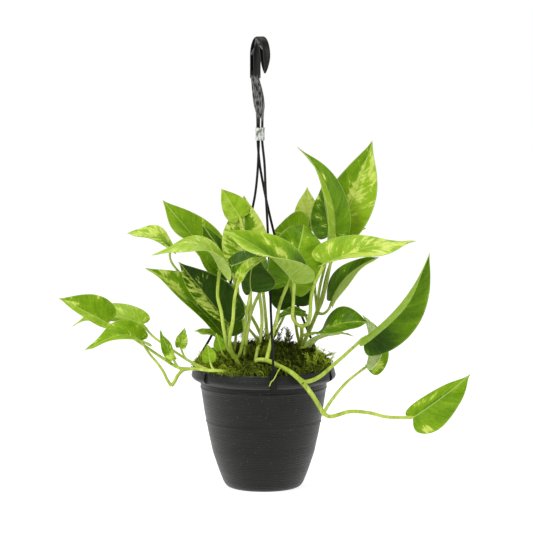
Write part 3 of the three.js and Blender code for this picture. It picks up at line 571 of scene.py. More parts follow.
# ---------------------------------------------------------------- stems
# Fleshy green stems creep through the moss, and long petioles rise from them, one to a leaf.
# They are smooth and waxy, pale yellow-green in the light, and swollen where they join.
KNEE_LENGTH = 4
KNEE_INTO_BLADE = 3

# The branches of each stem: the leaf that it ends at, its first and last radius, and its route.
STEMS = {
    'stem_left_upright': [
        (None, (2.9, 2.4), [(-22, -38, 106), (-24, -41, 130), (-27, -44, 143), (-33, -47, 157)]),
        ('front_left', (2.3, 1.7), [(-33, -47, 155), (-40, -58, 168), (-44, -68, 188), (-47, -71, 209),
                                    (-51, -70, 227)]),
        ('small_folded', (2.3, 1.7), [(-33, -47, 155), (-38, -63, 173), (-34, -76, 201), (-32, -79, 226)]),
    ],
    'stem_dark_round': [
        ('dark_round', (2, 1.6), [(-30, -30, 106), (-30, -36, 146), (-25, -42, 164), (-21, -47, 188),
                                  (-19, -52, 206)]),
    ],
    'stem_centre_back': [
        ('striped', (2.4, 1.7), [(-23, -26, 106), (-22, -30, 141), (-19, -26, 177), (-16, -23, 196),
                                 (-15, -21, 225)]),
        ('dark_small', (1.6, 1.4), [(-20, -28, 165), (-24, -28, 200), (-33, -37, 240)]),
        ('round_back', (2, 1.6), [(-19, -25, 180), (-12, 5, 205), (2, 30, 228), (30, 46, 254),
                                  (43, 50, 267)]),
    ],
    'stem_centre': [
        ('upper_centre', (2.2, 1.6), [(-10, -36, 106), (-9, -38, 150), (-3, -25, 177), (-2, -20, 200),
                                      (-8, -22, 240), (-16, -24, 270), (-21, -20, 290)]),
    ],
    'stem_right_trailing': [
        (None, (2.6, 2.9), [(-12, -46, 106), (-13, -46, 140), (-8, -48, 151), (3, -53, 152), (18, -64, 147),
                            (32, -76, 141), (44, -79, 131)]),
        (None, (2.9, 2.5), [(44, -79, 131), (55, -73, 115), (67, -64, 94)]),
        ('low_right', (2.3, 1.8), [(67, -64, 94), (74, -62, 90), (97, -58, 95), (119, -55, 93),
                                   (138, -52, 88)]),
        ('centre_upright', (2.3, 1.8), [(3, -53, 151), (9, -47, 176), (14, -41, 194), (19, -34, 215)]),
        ('big_right', (2.4, 1.7), [(44, -79, 131), (54, -76, 133), (63, -72, 137), (75, -64, 146),
                                   (87, -56, 155), (97, -49, 163)]),
        ('right_hanging', (1.9, 1.4), [(67, -64, 94), (74, -61, 105), (83, -54, 116), (94, -41, 126),
                                       (107, -25, 134)]),
    ],
    'stem_right_bend': [
        ('right_low', (1.8, 1.5), [(43, -24, 176), (47, -29, 178)]),
        ('low_under', (1.7, 1.4), [(41.5, -10, 161), (46, -18, 162)]),
        (None, (2.3, 2.1), [(40, -2, 106), (41, -8, 160), (43, -22, 175), (43, -40, 189)]),
        ('front_centre', (2, 1.8), [(43, -40, 189), (38, -44, 191.5), (32.5, -55, 201), (33, -65, 215)]),
        ('right_wide', (2.2, 1.8), [(43, -40, 189), (49, -42, 192), (52, -46, 202), (53, -48, 220),
                                    (56, -48, 235)]),
    ],
    'stem_back': [
        (None, (2.8, 2.4), [(2, 34, 106), (2, 36, 140), (4, 40, 170)]),
        ('back_left', (2.1, 1.6), [(3, 37, 152), (-8, 46, 178), (-28, 54, 210), (-44, 62, 238)]),
        ('back_centre', (2.1, 1.6), [(4, 40, 168), (2, 52, 192), (-1, 66, 220)]),
        ('back_right', (2.1, 1.6), [(3, 38, 158), (16, 46, 184), (40, 56, 214), (60, 66, 242)]),
        ('back_low_left', (1.8, 1.4), [(3, 37, 150), (-8, 44, 164), (-22, 50, 180), (-32, 54, 192)]),
        ('back_low_right', (1.8, 1.4), [(3, 37, 150), (14, 46, 170), (24, 54, 190)]),
    ],
    'stem_right_back': [
        (None, (2.6, 2.3), [(42, 12, 106), (43, 10, 155), (51, 6, 175), (61, 2, 200)]),
        ('tall_front', (1.9, 1.6), [(61, 2, 200), (66, 3, 211), (70, 3, 226), (76, 3, 256)]),
        ('dark_behind', (1.8, 1.5), [(61, 2, 200), (62, 6, 214), (65, 10, 232), (70, 13, 252)]),
        ('small_cream', (1.6, 1.3), [(61, 2, 200), (59, 16, 220), (56, 40, 255)]),
        ('high_right', (1.9, 1.6), [(61, 2, 200), (67, 14, 218), (73, 24, 242), (82, 32, 268)]),
        ('low_edge', (1.5, 1.3), [(50, 7, 172), (51, 3, 186)]),
        ('dark_back', (1.9, 1.6), [(43, 10, 155), (38, 12, 176)]),
        ('right_lower', (1.7, 1.4), [(61, 1, 199), (68, 2, 198), (74, 3, 203)]),
    ],
    'stem_left_back': [
        (None, (2.5, 2.2), [(-33, -14, 106), (-34, -16, 146), (-38, -16, 166)]),
        ('dark_mottled', (2, 1.7), [(-34, -16, 150), (-37, -26, 164), (-39, -40, 178)]),
        ('left_pointed', (2, 1.6), [(-38, -16, 164), (-42, -22, 168)]),
        ('far_upper_left', (1.7, 1.3), [(-38, -16, 166), (-52, -2, 185), (-72, 2, 221), (-92, -10, 243),
                                        (-105, -20, 262)]),
        ('dark_behind_front', (1.7, 1.5), [(-34, -16, 150), (-30, -12, 190), (-29, -9, 225)]),
        ('grey_behind', (1.5, 1.3), [(-39, -10, 176), (-42, -3, 205), (-47, -10, 230)]),
        ('small_left', (1.3, 1.1), [(-37, -16, 160), (-45, -16, 170)]),
        ('small_bright', (1.2, 1), [(-34, -16, 146), (-38, -34, 150), (-44, -45, 156)]),
        ('upper_left', (2, 1.6), [(-38, -16, 166), (-42, 2, 190), (-50, 22, 228)]),
    ],
    'stem_left_trailing': [
        (None, (1.9, 1.9), [(-24, -54, 106), (-27, -58, 133), (-46, -63, 141.5), (-61, -60, 142),
                            (-77, -49, 142), (-90, -41, 139.5), (-96, -39, 134), (-101, -41, 125),
                            (-104, -42, 122)]),
        ('far_left_near', (1.7, 1.3), [(-104, -42, 122), (-108, -43, 128), (-112, -45, 137),
                                       (-119, -47, 148), (-128, -48, 159)]),
        ('far_left', (1.8, 1.4), [(-77, -49, 142), (-96, -38, 142), (-117, -26, 153), (-139, -26, 168),
                                  (-158, -28, 181)]),
        ('far_left_back', (1.7, 1.3), [(-61, -60, 142), (-71, -44, 144), (-83, -32, 148),
                                       (-107, -14, 161), (-126, -4, 173)]),
        ('small_pale', (1.3, 1), [(-54, -62, 141), (-58, -59, 146)]),
        ('bud_round', (1.4, 1), [(-61, -60, 142), (-72, -44, 142.5), (-81, -35, 147), (-89, -30, 153)]),
        ('spear', (1.6, 1.2), [(-90, -41, 140), (-96, -38, 142)]),
    ],
}

# The leaves, where the branches end. A row holds the blade's form as on the real plant, in
# millimetres and degrees, and its paint: shade runs from -1, nearly black, to 1, pale, and cream
# is how much of it is cream. A pair is for the left and the right half, seen with the tip up.
# spots change the paint about a place: along, across, reach of each, more cream, more shade.
# The shade is partly the leaf's own tone and partly painted light and shade: leaves and halves
# that hang in shadow are painted darker, those in the light paler, and some spots are painted shadows.
LEAVES = {
    'high_right': dict(
        base=(86, 44, 292), tip=(124, 30, 394), faces=(-0.1, -1, 0.35), half=(29, 31), fold=(14, 20),
        arch=-3, sway=3, shade=(0.15, 0.5), cream=(0.16, 0.2),
        spots=[(0.45, -0.15, 0.3, 0.12, 0.5, 0.3), (0.7, -0.2, 0.2, 0.15, 0.4, 0.3),
               (0.5, 0.2, 0.25, 0.22, 0.45, 0.25), (0.75, 0.75, 0.2, 0.25, 0.4, 0.2)]),
    'tall_front': dict(
        base=(81, 3, 288), tip=(38, -12, 389), faces=(0.75, -0.65, 0.1), half=21, fold=(20, 20),
        arch=9, sway=9, twist=45, shade=(0.65, 0.05), cream=(0.25, 0.1),
        spots=[(0.6, 0.3, 0.05, 0.12, 0.8, 0.5)]),
    # Painted shade: this leaf stands in shadow behind the others and is painted darker than its own green.
    'dark_behind': dict(
        base=(76, 28, 286), tip=(67, 40, 342), faces=(-0.35, -1, 0.1), half=20, fold=(12, 12),
        shade=(-0.2, -0.25), cream=(0.2, 0.16)),
    # Painted light: this leaf stands behind in less light and is painted paler to make up for it.
    'small_cream': dict(
        base=(50, 56, 290), tip=(50, 50, 339), faces=(0, -1, 0.2), half=16, fold=(12, 12),
        shade=(1, 0.95), cream=(0.7, 0.6),
        spots=[(0.85, 0, 0.3, 1, 0.3, 0.3)]),
    'round_back': dict(
        base=(46, 46, 280), tip=(10, 44, 288), faces=(0, -1, 0.25), half=(22, 30), fold=(5, 5),
        shade=(0.3, 0.3), cream=(0.12, 0.12)),
    'right_wide': dict(
        base=(68, -46, 260), tip=(172, -26, 284), faces=(0, -0.37, 0.93), half=(28, 27), fold=(36, 34),
        open=(62, 66), arch=7, shade=(0.5, 0.55), cream=(0.28, 0.32),
        spots=[(0.8, 0, 0.3, 1, 0.3, 0.3), (0.35, 0.85, 0.35, 0.25, 0.4, 0.3)]),
    # Painted light: the right half's shade of 2.2 paints its pale underside lighter, where it hangs in shade.
    'right_lower': dict(
        base=(78, 4, 213), tip=(131, -10, 264), faces=(-0.65, -0.27, 0.7), half=(24, 14),
        fold=(16, -10), arch=9, shade=(-0.1, 2.2), cream=(0.05, 0.1)),
    'centre_upright': dict(
        base=(27, -30, 235), tip=(45, 20, 298), faces=(0.2, -0.8, 0.6), half=(29, 32), fold=(3, -4),
        arch=28, shade=(-0.05, 0.25), cream=(0.1, 0.1)),
    'front_centre': dict(
        base=(34, -76, 242), tip=(-44, -110, 304), faces=(0.15, -0.37, 0.93), half=(33, 33),
        fold=(78, 46), open=(118, 38), arch=8, shade=(0.3, 0.05), cream=(0.05, 0),
        spots=[(0.3, 0.5, 0.1, 0.18, 0.6, 0.6), (0.5, 0.6, 0.08, 0.15, 0.4, 0.5),
               (0.0, 0.75, 0.14, 0.5, -0.2, -0.7), (0.98, 0, 0.2, 1, 0.3, 0.6),
               (0.5, 0.95, 0.5, 0.15, 0.1, 0.4), (0.6, -0.95, 0.4, 0.2, 0.3, 0.6)]),
    'front_left': dict(
        base=(-49, -66, 256), tip=(-124, -76, 273), faces=(0, -0.3, 0.95), half=27, fold=(36, 20),
        open=(66, 50), arch=24, lean=0.3, shade=(0.75, 0.7), cream=(0.2, 0.3)),
    'far_upper_left': dict(
        base=(-105, -22, 277), tip=(-153, -40, 294), faces=(0.1, -0.45, 0.9), half=19, fold=(10, 10),
        arch=7, lean=0.4, shade=(0.55, 0.6), cream=(0.45, 0.5),
        spots=[(0.1, -0.3, 0.2, 0.4, -0.6, -0.8)]),
    'upper_left': dict(
        base=(-57, 27, 255), tip=(-116, 37, 325), faces=(0, -0.9, 0.5), half=27, fold=(95, 5),
        open=(95, 0), shade=(0.3, 0.25), cream=(0.12, 0.1)),
    'dark_behind_front': dict(
        base=(-33, -8, 249), tip=(-69, -18, 302), faces=(-0.2, -0.9, 0.3), half=(25, 12), fold=(10, 5),
        shade=(-0.3, -0.35), cream=(0.08, 0.08)),
    'upper_centre': dict(
        base=(-27, -14, 310), tip=(-48, -12, 342), faces=(0, -0.9, 0.5), half=(14, 16), fold=(5, 5),
        shade=(0.62, 0.5), cream=(0, 0.02)),
    'striped': dict(
        base=(-21, -20, 260), tip=(-22, -5, 334), faces=(0.1, -1, 0.1), half=27, fold=(10, 5),
        shade=(0.3, 0.02), cream=(0.5, 0.12),
        spots=[(0.75, -0.05, 0.3, 0.12, 0.5, 0.4), (0.5, 0.95, 0.5, 0.28, 0.9, 0.6),
               (0.35, 0.5, 0.3, 0.1, 0.4, 0.2)]),
    'small_folded': dict(
        base=(-27, -76, 247), tip=(4, -80, 272), faces=(-0.3, -0.5, 0.85), half=10, fold=(15, 5),
        arch=5, shade=(0.7, 0.55), cream=(0.42, 0.4)),
    'dark_round': dict(
        base=(-14, -60, 231), tip=(-6, -66, 274), faces=(0, -1, 0.1), half=(10, 30), fold=(12, 12),
        sway=-4, shade=(-0.5, -0.55), cream=(0.05, 0.03)),
    'right_low': dict(
        base=(60, -33, 181), tip=(118, -36, 193), faces=(0, -0.3, 0.95), half=(30, 20), fold=(-28, 22),
        open=(-105, 60), arch=5, shade=(-0.2, -0.05), cream=(0.12, 0.1),
        spots=[(0.5, -0.15, 0.3, 0.2, 0.25, 0.2), (0.3, 0.2, 0.2, 0.3, 0.1, 0.35)]),
    # Painted shadow: the first spot darkens the lobe at the base, where the folded near half casts its
    # shadow.
    'big_right': dict(
        base=(113, -44, 177), tip=(185, -60, 274), faces=(0.61, -0.64, -0.45), half=(22, 33),
        fold=(51, 44), arch=5, sway=9, shade=(0.2, 0.02), cream=(0.02, 0.04),
        spots=[(0.05, 0.5, 0.14, 0.7, -0.2, -0.75)]),
    'right_hanging': dict(
        base=(116, -14, 139), tip=(113, 8, 196), faces=(0.1, -1, -0.1), half=(28, 23), fold=(115, -5),
        sway=6, shade=(1.3, 0.2), cream=(0.1, 0.12),
        spots=[(0.1, 0.6, 0.12, 0.2, 0.8, 0.4)]),
    'low_right': dict(
        base=(168, -50, 87), tip=(233, -42, 135), faces=(-0.46, -0.64, 0.62), half=(22, 27),
        fold=(-12, -31), sway=2, shade=(0.25, 0.15), cream=(0.06, 0.02),
        spots=[(0.25, -0.7, 0.25, 0.3, 0.4, 0.3), (0.1, 0.8, 0.15, 0.3, 0.4, 0.3),
               (0.8, 0.2, 0.2, 0.5, 0.2, 0.2), (0.5, -0.1, 0.3, 0.1, 0.1, -0.5)]),
    'far_left': dict(
        base=(-176, -28, 191), tip=(-230, -42, 221), faces=(0, -0.85, 0.5), half=(8, 24), fold=(0, 15),
        arch=1, shade=(0.6, 0.25), cream=(0.2, 0.15),
        spots=[(0.75, 0.35, 0.15, 0.25, 0.6, 0.4)]),
    'far_left_back': dict(
        base=(-138, 2, 186), tip=(-219, 14, 182), faces=(0, -0.5, 0.85), half=23, fold=(25, 8),
        arch=13, shade=(0.65, 0.6), cream=(0.2, 0.2)),
    'far_left_near': dict(
        base=(-137, -50, 174), tip=(-200, -70, 166), faces=(0, -0.5, 0.85), half=20, fold=(25, 38),
        open=(0, 60), arch=12, lean=0.5, shade=(0.5, 0.25), cream=(0.15, 0.15)),
    'spear': dict(
        base=(-102, -38, 152), tip=(-117, -32, 184), faces=(-0.5, -0.8, 0.1), half=8, fold=(25, 25),
        shade=(0.1, 0.1), cream=(0.25, 0.25),
        spots=[(0.1, 0, 0.15, 1, 0.4, 0.4)]),
    'bud_round': dict(
        base=(-94, -28, 164), tip=(-89, -30, 186), faces=(0, -1, 0), half=7, fold=(10, 10),
        shade=(0.3, 0.45), cream=(0.15, 0.35)),
    'dark_mottled': dict(
        base=(-40, -40, 192), tip=(-95, -50, 263), faces=(0.1, -1, 0.3), half=(24, 31), fold=(80, 5),
        open=(75, 0), shade=(-0.3, -0.6), cream=(0.36, 0.2),
        spots=[(0.3, -0.5, 0.25, 0.35, 0.25, 0.3)]),
    'left_pointed': dict(
        base=(-45, -22, 175), tip=(-134, -20, 253), faces=(-0.2, -0.8, 0.5), half=(24, 34),
        fold=(63, 5), sway=6, shade=(0.0, -0.05), cream=(0.28, 0.24),
        spots=[(0.8, 0, 0.3, 1, 0.3, 0.5)]),
    'grey_behind': dict(
        base=(-53, -20, 243), tip=(-83, -20, 281), faces=(0, -1, 0.1), half=(16, 19), fold=(80, 8),
        shade=(0.25, 0.15), cream=(0.08, 0.08)),
    'dark_small': dict(
        base=(-35, -46, 258), tip=(2, -46, 272), faces=(0, -0.8, 0.6), half=14, fold=(0, 10),
        shade=(-0.4, -0.35), cream=(0.1, 0.1),
        spots=[(0.5, 0.5, 0.3, 0.4, 0, 0.9)]),
    'dark_back': dict(
        base=(34, 14, 207), tip=(24, 20, 264), faces=(0, -1, 0.1), half=26, fold=(8, 8),
        shade=(-0.6, -0.6), cream=(0.08, 0.08)),
    'low_edge': dict(
        base=(47, -2, 199), tip=(14, -10, 195), faces=(0, -0.3, 0.95), half=12, fold=(5, 5), arch=4,
        shade=(0, 0), cream=(0.25, 0.25)),
    'small_left': dict(
        base=(-54, -16, 176), tip=(-79, -18, 181), faces=(0, -0.4, 0.9), half=8, fold=(20, 20),
        shade=(0.5, 0.5), cream=(0.2, 0.2)),
    'small_bright': dict(
        base=(-48, -50, 164), tip=(-53, -52, 183), faces=(0.2, -1, 0.1), half=7, fold=(10, 10),
        shade=(0.25, 0.25), cream=(0.05, 0.05)),
    'small_pale': dict(
        base=(-60, -57, 152), tip=(-63, -55, 171), faces=(0, -1, 0.2), half=8, fold=(5, 5),
        shade=(0.3, 0.4), cream=(0, 0)),
    'low_under': dict(
        base=(53, -24, 166), tip=(102, -34, 177), faces=(0, 0.3, 0.95), half=12, fold=(10, 10), arch=7,
        shade=(0.9, 0.9), cream=(0.15, 0.15)),
    'back_left': dict(
        base=(-56, 72, 262), tip=(-98, 106, 288), faces=(-0.2, 0.6, 0.8), half=27, fold=(12, 12),
        arch=8, shade=(-0.05, 0.1), cream=(0.25, 0.3)),
    'back_centre': dict(
        base=(-4, 84, 250), tip=(-24, 118, 278), faces=(-0.1, 0.7, 0.7), half=24, fold=(12, 12),
        arch=5, shade=(-0.2, -0.05), cream=(0.25, 0.18)),
    'back_right': dict(
        base=(76, 78, 262), tip=(120, 104, 286), faces=(0.2, 0.6, 0.8), half=27, fold=(12, 12), arch=6,
        shade=(0.1, -0.05), cream=(0.35, 0.25)),
    'back_low_left': dict(
        base=(-38, 58, 204), tip=(-72, 92, 208), faces=(-0.1, 0.5, 0.9), half=20, fold=(15, 15),
        arch=6, shade=(-0.3, -0.15), cream=(0.18, 0.22)),
    'back_low_right': dict(
        base=(32, 62, 214), tip=(44, 98, 232), faces=(0, 0.6, 0.8), half=20, fold=(15, 15), arch=5,
        shade=(-0.2, -0.15), cream=(0.2, 0.25)),
}

# A thin aerial root comes out of the moss at the front and hangs over the rim.
AIR_ROOT = [(25, -60, 142), (20, -70, 147), (15.5, -79, 142.5), (13, -83.6, 138), (10.5, -84.6, 134.4),
            (8.4, -84.6, 132.4), (6.6, -84.6, 127.6)]
AIR_ROOT_RADIUS = 0.65


def green_stem(wire):
    place = wire.place()
    streaks = wire.noise(wire.stretched(place, (1, 1, 0.2)), 300, 3)
    blush = wire.noise(place, 26, 2)
    flecks = wire.noise(wire.stretched(place, (1, 1, 0.4)), 520, 2).between(0.62, 0.7)
    rings = wire.noise(wire.stretched(place, (0.12, 0.12, 1)), 210, 2).between(0.66, 0.72)
    colour = (streaks * 0.55 + blush * 0.7 - 0.12).ramp([
        (0.25, (0.17, 0.26, 0.015)), (0.5, (0.36, 0.47, 0.05)), (0.75, (0.58, 0.66, 0.15))])
    return {
        'Base Color': (flecks * 0.4 + rings * 0.45).painted(colour, (0.15, 0.2, 0.012)),
        'Roughness': 0.36,
        'Specular IOR Level': 0.3,
        'Normal': wire.bump(streaks, 0.15, 0.3 * MM),
    }


stem_finish = finish("green_stem", green_stem)


def meshed(piece):
    """Turns a curve into the mesh that it draws."""
    alone(piece)
    bpy.ops.object.convert(target='MESH')
    return bpy.context.object


def rod(points, radii):
    """A round bar through the points, as thick as the radius at each."""
    line = bpy.data.curves.new("rod", 'CURVE')
    line.dimensions = '3D'
    line.bevel_depth = 1
    line.bevel_resolution = 3
    line.use_fill_caps = True
    spline = line.splines.new('POLY')
    spline.points.add(len(points) - 1)
    for knot, place, radius in zip(spline.points, points, radii):
        knot.co = (*place, 1)
        knot.radius = radius
    return meshed(placed("rod", line))


def joined(name, parts):
    """Joins parts into one named piece, with coinciding points merged."""
    alone(parts[0])
    for part in parts[1:]:
        part.select_set(True)
    bpy.ops.object.join()
    piece = bpy.context.object
    piece.name = name
    return edited(piece, remove_doubles={'threshold': 0.005 * MM})


def lengths(points):
    """How far along the curve each point is."""
    reached = [0]
    for before, after in zip(points, points[1:]):
        reached.append(reached[-1] + (after - before).length)
    return reached


def petiole(leaf, radii, route):
    """The points and radii of one branch, and of the knee that belongs to the leaf at its end."""
    if leaf:
        route = [*route, LEAVES[leaf]['base']]
    points = [point * MM for point in on_curve(route, 10)]
    reached = lengths(points)
    stop = reached[-1] - (KNEE_LENGTH * MM if leaf else 0)
    stalk, thick = [], []
    for point, far in zip(points, reached):
        if far > stop:
            break
        share = far / stop
        swell = (1 + 0.28 * math.exp(-(far / (3 * MM)) ** 2)
                 + 0.16 * math.exp(-((stop - far) / (4 * MM)) ** 2))
        stalk.append(point)
        thick.append((radii[0] + (radii[1] - radii[0]) * share) * swell * MM)
    if not leaf:
        return stalk, thick, None
    last = next(i for i, far in enumerate(reached) if far > stop)
    part = (stop - reached[last - 1]) / (reached[last] - reached[last - 1])
    joint = points[last - 1].lerp(points[last], part)
    stalk.append(joint)
    thick.append(thick[-1])
    base, tip = Vector(LEAVES[leaf]['base']) * MM, Vector(LEAVES[leaf]['tip']) * MM
    into = base + (tip - base).normalized() * KNEE_INTO_BLADE * MM
    knee = on_curve([joint, joint.lerp(base, 0.5), base, into], 4)
    knee_radii = [thick[-1] * (1 - 0.8 * (i / (len(knee) - 1)) ** 2) for i in range(len(knee))]
    return stalk, thick, (knee, knee_radii)


root_line = [point * MM for point in on_curve(AIR_ROOT, 8)]
root = settled(rod(root_line, [AIR_ROOT_RADIUS * MM] * len(root_line)), 60)
root.name = "air_root"
coated(root, stem_finish)
handed_over(root)

knees = {}
for node, branches in STEMS.items():
    rods = []
    for leaf, radii, route in branches:
        stalk, thick, knee = petiole(leaf, radii, route)
        rods.append(rod(stalk, thick))
        if leaf:
            knees[leaf] = knee
    stem = settled(joined(node.replace('stem', 'stalks'), rods), 60)
    coated(stem, stem_finish)
    handed_over(stem, node)


# ---------------------------------------------------------------- leaves
# Thin waxy heart-shaped blades with a sunk midrib, each on a swollen knee at its petiole's end.
# The upper face is glossy green, streaked with cream and yellow, and the underside is pale.
BLADE_THICKNESS = 0.7
VEINS = 9
BLADE_ROWS = 54
BLADE_COLUMNS = 20
MARGIN_WAVE = 1.1
QUILT_HEIGHT = 0.2
MIDRIB_DEPTH = 0.55

# One half's margin from the notch to the tip: how far along the midrib and how far out, as
# shares of the blade's length and half width, and where on the midrib its side vein leaves.
HEART_MARGIN = [
    (0, 0, 0), (-0.06, 0.34, 0), (-0.055, 0.66, 0), (0.06, 0.9, 0.03), (0.25, 1, 0.12),
    (0.46, 0.9, 0.27), (0.65, 0.64, 0.46), (0.81, 0.34, 0.66), (0.93, 0.1, 0.85), (1, 0, 1)]


def margin(share):
    """The heart's margin at a share of its outline, on a smooth curve through its points."""
    spans = len(HEART_MARGIN) - 1
    span = min(int(share * spans), spans - 1)
    t = share * spans - span
    p0, p1, p2, p3 = (HEART_MARGIN[min(spans, max(0, span + k))] for k in (-1, 0, 1, 2))
    return [0.5 * (2 * b + (c - a) * t + (2 * a - 5 * b + 4 * c - d) * t ** 2
                   + (3 * b - a - 3 * c + d) * t ** 3) for a, b, c, d in zip(p0, p1, p2, p3)]


def pair(value):
    """A leaf's value for its left and right half."""
    return value if isinstance(value, tuple) else (value, value)


def blade_place(leaf, along, across, lift_off=0):
    """A point of the blade, from its place on the flat outline and lifted off along the way up, and how far
    out from the midrib it lies.
    """
    base = Vector(leaf['base'])
    chord = Vector(leaf['tip']) - base
    length = chord.length
    forward = chord / length
    face = Vector(leaf['faces'])
    face = (face - forward * face.dot(forward)).normalized()
    twist = math.radians(leaf.get('twist', 0) * (along - 0.3))
    face = Matrix.Rotation(twist, 3, forward) @ face
    right = forward.cross(face)
    arch, sway, lean = leaf.get('arch', 0), leaf.get('sway', 0), leaf.get('lean', 0)
    early = 1 + lean * (1 - 2 * along)
    bow = 4 * along * (1 - along) * early
    slope = 4 * ((1 - 2 * along) * early - 2 * lean * along * (1 - along)) / length
    heading = (forward + face * arch * slope + right * sway * slope).normalized()
    out = (right - heading * right.dot(heading)).normalized()
    up = out.cross(heading)
    hand = 0 if across < 0 else 1
    reach = across * pair(leaf['half'])[hand]
    fold, eased = pair(leaf['fold'])[hand], pair(leaf.get('open', 0))[hand]
    lift = math.radians(fold - eased * min(1, max(0, along)))
    place = (base + forward * along * length + face * arch * bow + right * sway * bow
             + out * reach * math.cos(lift) + up * abs(reach) * math.sin(lift))
    normal = up * math.cos(lift) - out * math.copysign(math.sin(lift), reach)
    return place + normal * lift_off, abs(reach)


def blade(name, leaf, seed):
    """A grid bent into the leaf's form, given its thickness, and marked with the leaf's paint."""
    bpy.ops.mesh.primitive_grid_add(x_subdivisions=BLADE_COLUMNS, y_subdivisions=BLADE_ROWS, size=2,
                                    calc_uvs=True)
    piece = bpy.context.object
    piece.name = name
    marks = {'shade': [], 'cream': [], 'rib': [], 'leaf_seed': []}
    for vertex in piece.data.vertices:
        side, share = vertex.co.x, (vertex.co.y + 1) / 2
        reach = abs(side)
        along, out, rib = margin(share)
        rib = max(0, rib)
        across = math.copysign(max(0, out) * reach, side)
        along = rib + (along - rib) * reach ** 1.3
        wave = MARGIN_WAVE * reach ** 3 * math.sin(share * 16 + seed * 2.4 + side)
        quilt = QUILT_HEIGHT * math.sin(math.pi * reach) * math.cos(2 * math.pi * VEINS * share)
        groove = MIDRIB_DEPTH * math.exp(-(across * 25 / 1.1) ** 2) * (1 - share)
        fade = min(1, 4 * share, 6 * (1 - share))
        place, far = blade_place(leaf, along, across, (wave + quilt) * fade - groove)
        vertex.co = place * MM
        hand = 0 if side < 0 else 1
        # shade carries the leaf's own tone together with its painted light and shade.
        shade, cream = pair(leaf['shade'])[hand], pair(leaf['cream'])[hand]
        for t, s, t_reach, s_reach, more_cream, more_shade in leaf.get('spots', ()):
            near = math.exp(-((along - t) / t_reach) ** 2 - ((side - s) / s_reach) ** 2)
            cream += more_cream * near
            shade += more_shade * near
        for mark, value in zip(marks.values(), (shade, cream, far, seed)):
            mark.append(value)
    for mark, values in marks.items():
        number_mesh(piece, mark, values)
    edited(piece, remove_doubles={'threshold': 0.02 * MM})
    for material in (blade_finish, underside_finish, stem_finish):
        piece.data.materials.append(material)
    modified(piece, 'SOLIDIFY', thickness=BLADE_THICKNESS * MM, offset=0, material_offset=1,
             material_offset_rim=1)
    return piece


SHADES = [(0.0, (0.009, 0.026, 0.0002)), (0.25, (0.034, 0.088, 0.0006)), (0.5, (0.112, 0.235, 0.0015)),
          (0.75, (0.25, 0.4, 0.014)), (1.0, (0.44, 0.57, 0.13))]
UNDERSIDES = [(0.0, (0.06, 0.115, 0.004)), (0.5, (0.2, 0.33, 0.02)), (0.75, (0.36, 0.48, 0.1)),
              (1.0, (0.75, 0.84, 0.5))]


def side_veins(wire, spread, width):
    """1 along the side veins, which run from the midrib to the margin in slightly uneven rows."""
    rows = wire.add('ShaderNodeSeparateXYZ', None, {0: spread}, result='Y')
    rows = rows + wire.noise(wire.stretched(spread, (2, 5, 1)), 1, 2) * 0.035
    wave = rows * (2 * math.pi * VEINS)
    return wave.math('COSINE', wave).between(1 - width, 1)


def waxy_blade(wire):
    spread = wire.add('ShaderNodeTexCoord', result='UV')
    seed = wire.add('ShaderNodeCombineXYZ', None, {'Z': wire.read("leaf_seed") * 3.7})
    drift = wire.add('ShaderNodeVectorMath', {'operation': 'ADD'}, {0: spread, 1: seed})
    patches = wire.noise(wire.stretched(drift, (2.8, 9, 1)), 1, 3)
    wander = wire.add('ShaderNodeVectorMath', {'operation': 'MULTIPLY_ADD'},
                      {0: wire.noise(wire.place(), 160, 2), 1: (0.1, 0.02, 0), 2: drift})
    streaks = wire.noise(wire.stretched(wander, (4.5, 42, 1)), 1, 5)
    speckle = wire.noise(wire.place(), 520, 3)
    veins = side_veins(wire, spread, 0.08)
    midrib = 1 - wire.read("rib").between(0.2, 1)
    across = wire.add('ShaderNodeSeparateXYZ', None, {0: spread}, result='X') - 0.5
    edge = across.math('ABSOLUTE', across).between(0.47, 0.5)
    # The tone follows the leaf's shade, which holds painted light and shade as well as its own tone.
    tone = (wire.read("shade") * 0.5 + 0.45 + (patches - 0.5) * 0.4 + (streaks - 0.5) * 0.26
            + (speckle - 0.5) * 0.2 + veins * 0.06)
    marbling = patches * 0.55 + streaks * 0.42 + speckle * 0.13 + wire.read("cream") * 0.42
    cream = marbling.between(0.7, 0.78)
    yellow = streaks.ramp([(0.35, (0.4, 0.52, 0.035)), (0.65, (0.66, 0.73, 0.18))])
    colour = (cream * 0.72).painted(tone.ramp(SHADES), yellow)
    colour = (midrib * 0.55 + edge * 0.35).painted(colour, (0.46, 0.58, 0.14))
    return {
        'Base Color': colour,
        'Roughness': 0.36 + speckle * 0.12,
        'Specular IOR Level': 0.1,
        'Normal': wire.bump(speckle * 0.5 + streaks * 0.7 - veins * 0.5, 0.25, 0.4 * MM),
    }


def pale_underside(wire):
    spread = wire.add('ShaderNodeTexCoord', result='UV')
    veins = side_veins(wire, spread, 0.15)
    speckle = wire.noise(wire.place(), 380, 3)
    streaks = wire.noise(wire.stretched(spread, (4, 40, 1)), 1, 3)
    # The tone follows the leaf's shade, which holds painted light and shade as well as its own tone.
    tone = 0.22 + streaks * 0.42 + speckle * 0.18 + wire.read("shade") * 0.26
    midrib = 1 - wire.read("rib").between(0.4, 1.5)
    return {
        'Base Color': (veins * 0.16 + midrib * 0.5).painted(tone.ramp(UNDERSIDES), (0.42, 0.54, 0.2)),
        'Roughness': 0.55,
        'Specular IOR Level': 0.1,
        'Normal': wire.bump(veins + speckle * 0.3 + streaks * 0.5, 0.25, 0.5 * MM),
    }


blade_finish = finish("waxy_blade", waxy_blade)
underside_finish = finish("pale_underside", pale_underside)

for seed, (name, leaf) in enumerate(LEAVES.items()):
    sheet = blade(f"blade_{name}", leaf, seed)
    knee = rod(*knees[name])
    coated(knee, stem_finish)
    alone(sheet)
    knee.select_set(True)
    bpy.ops.object.join()
    settled(sheet, 50)
    handed_over(sheet, f"leaf_{name}")


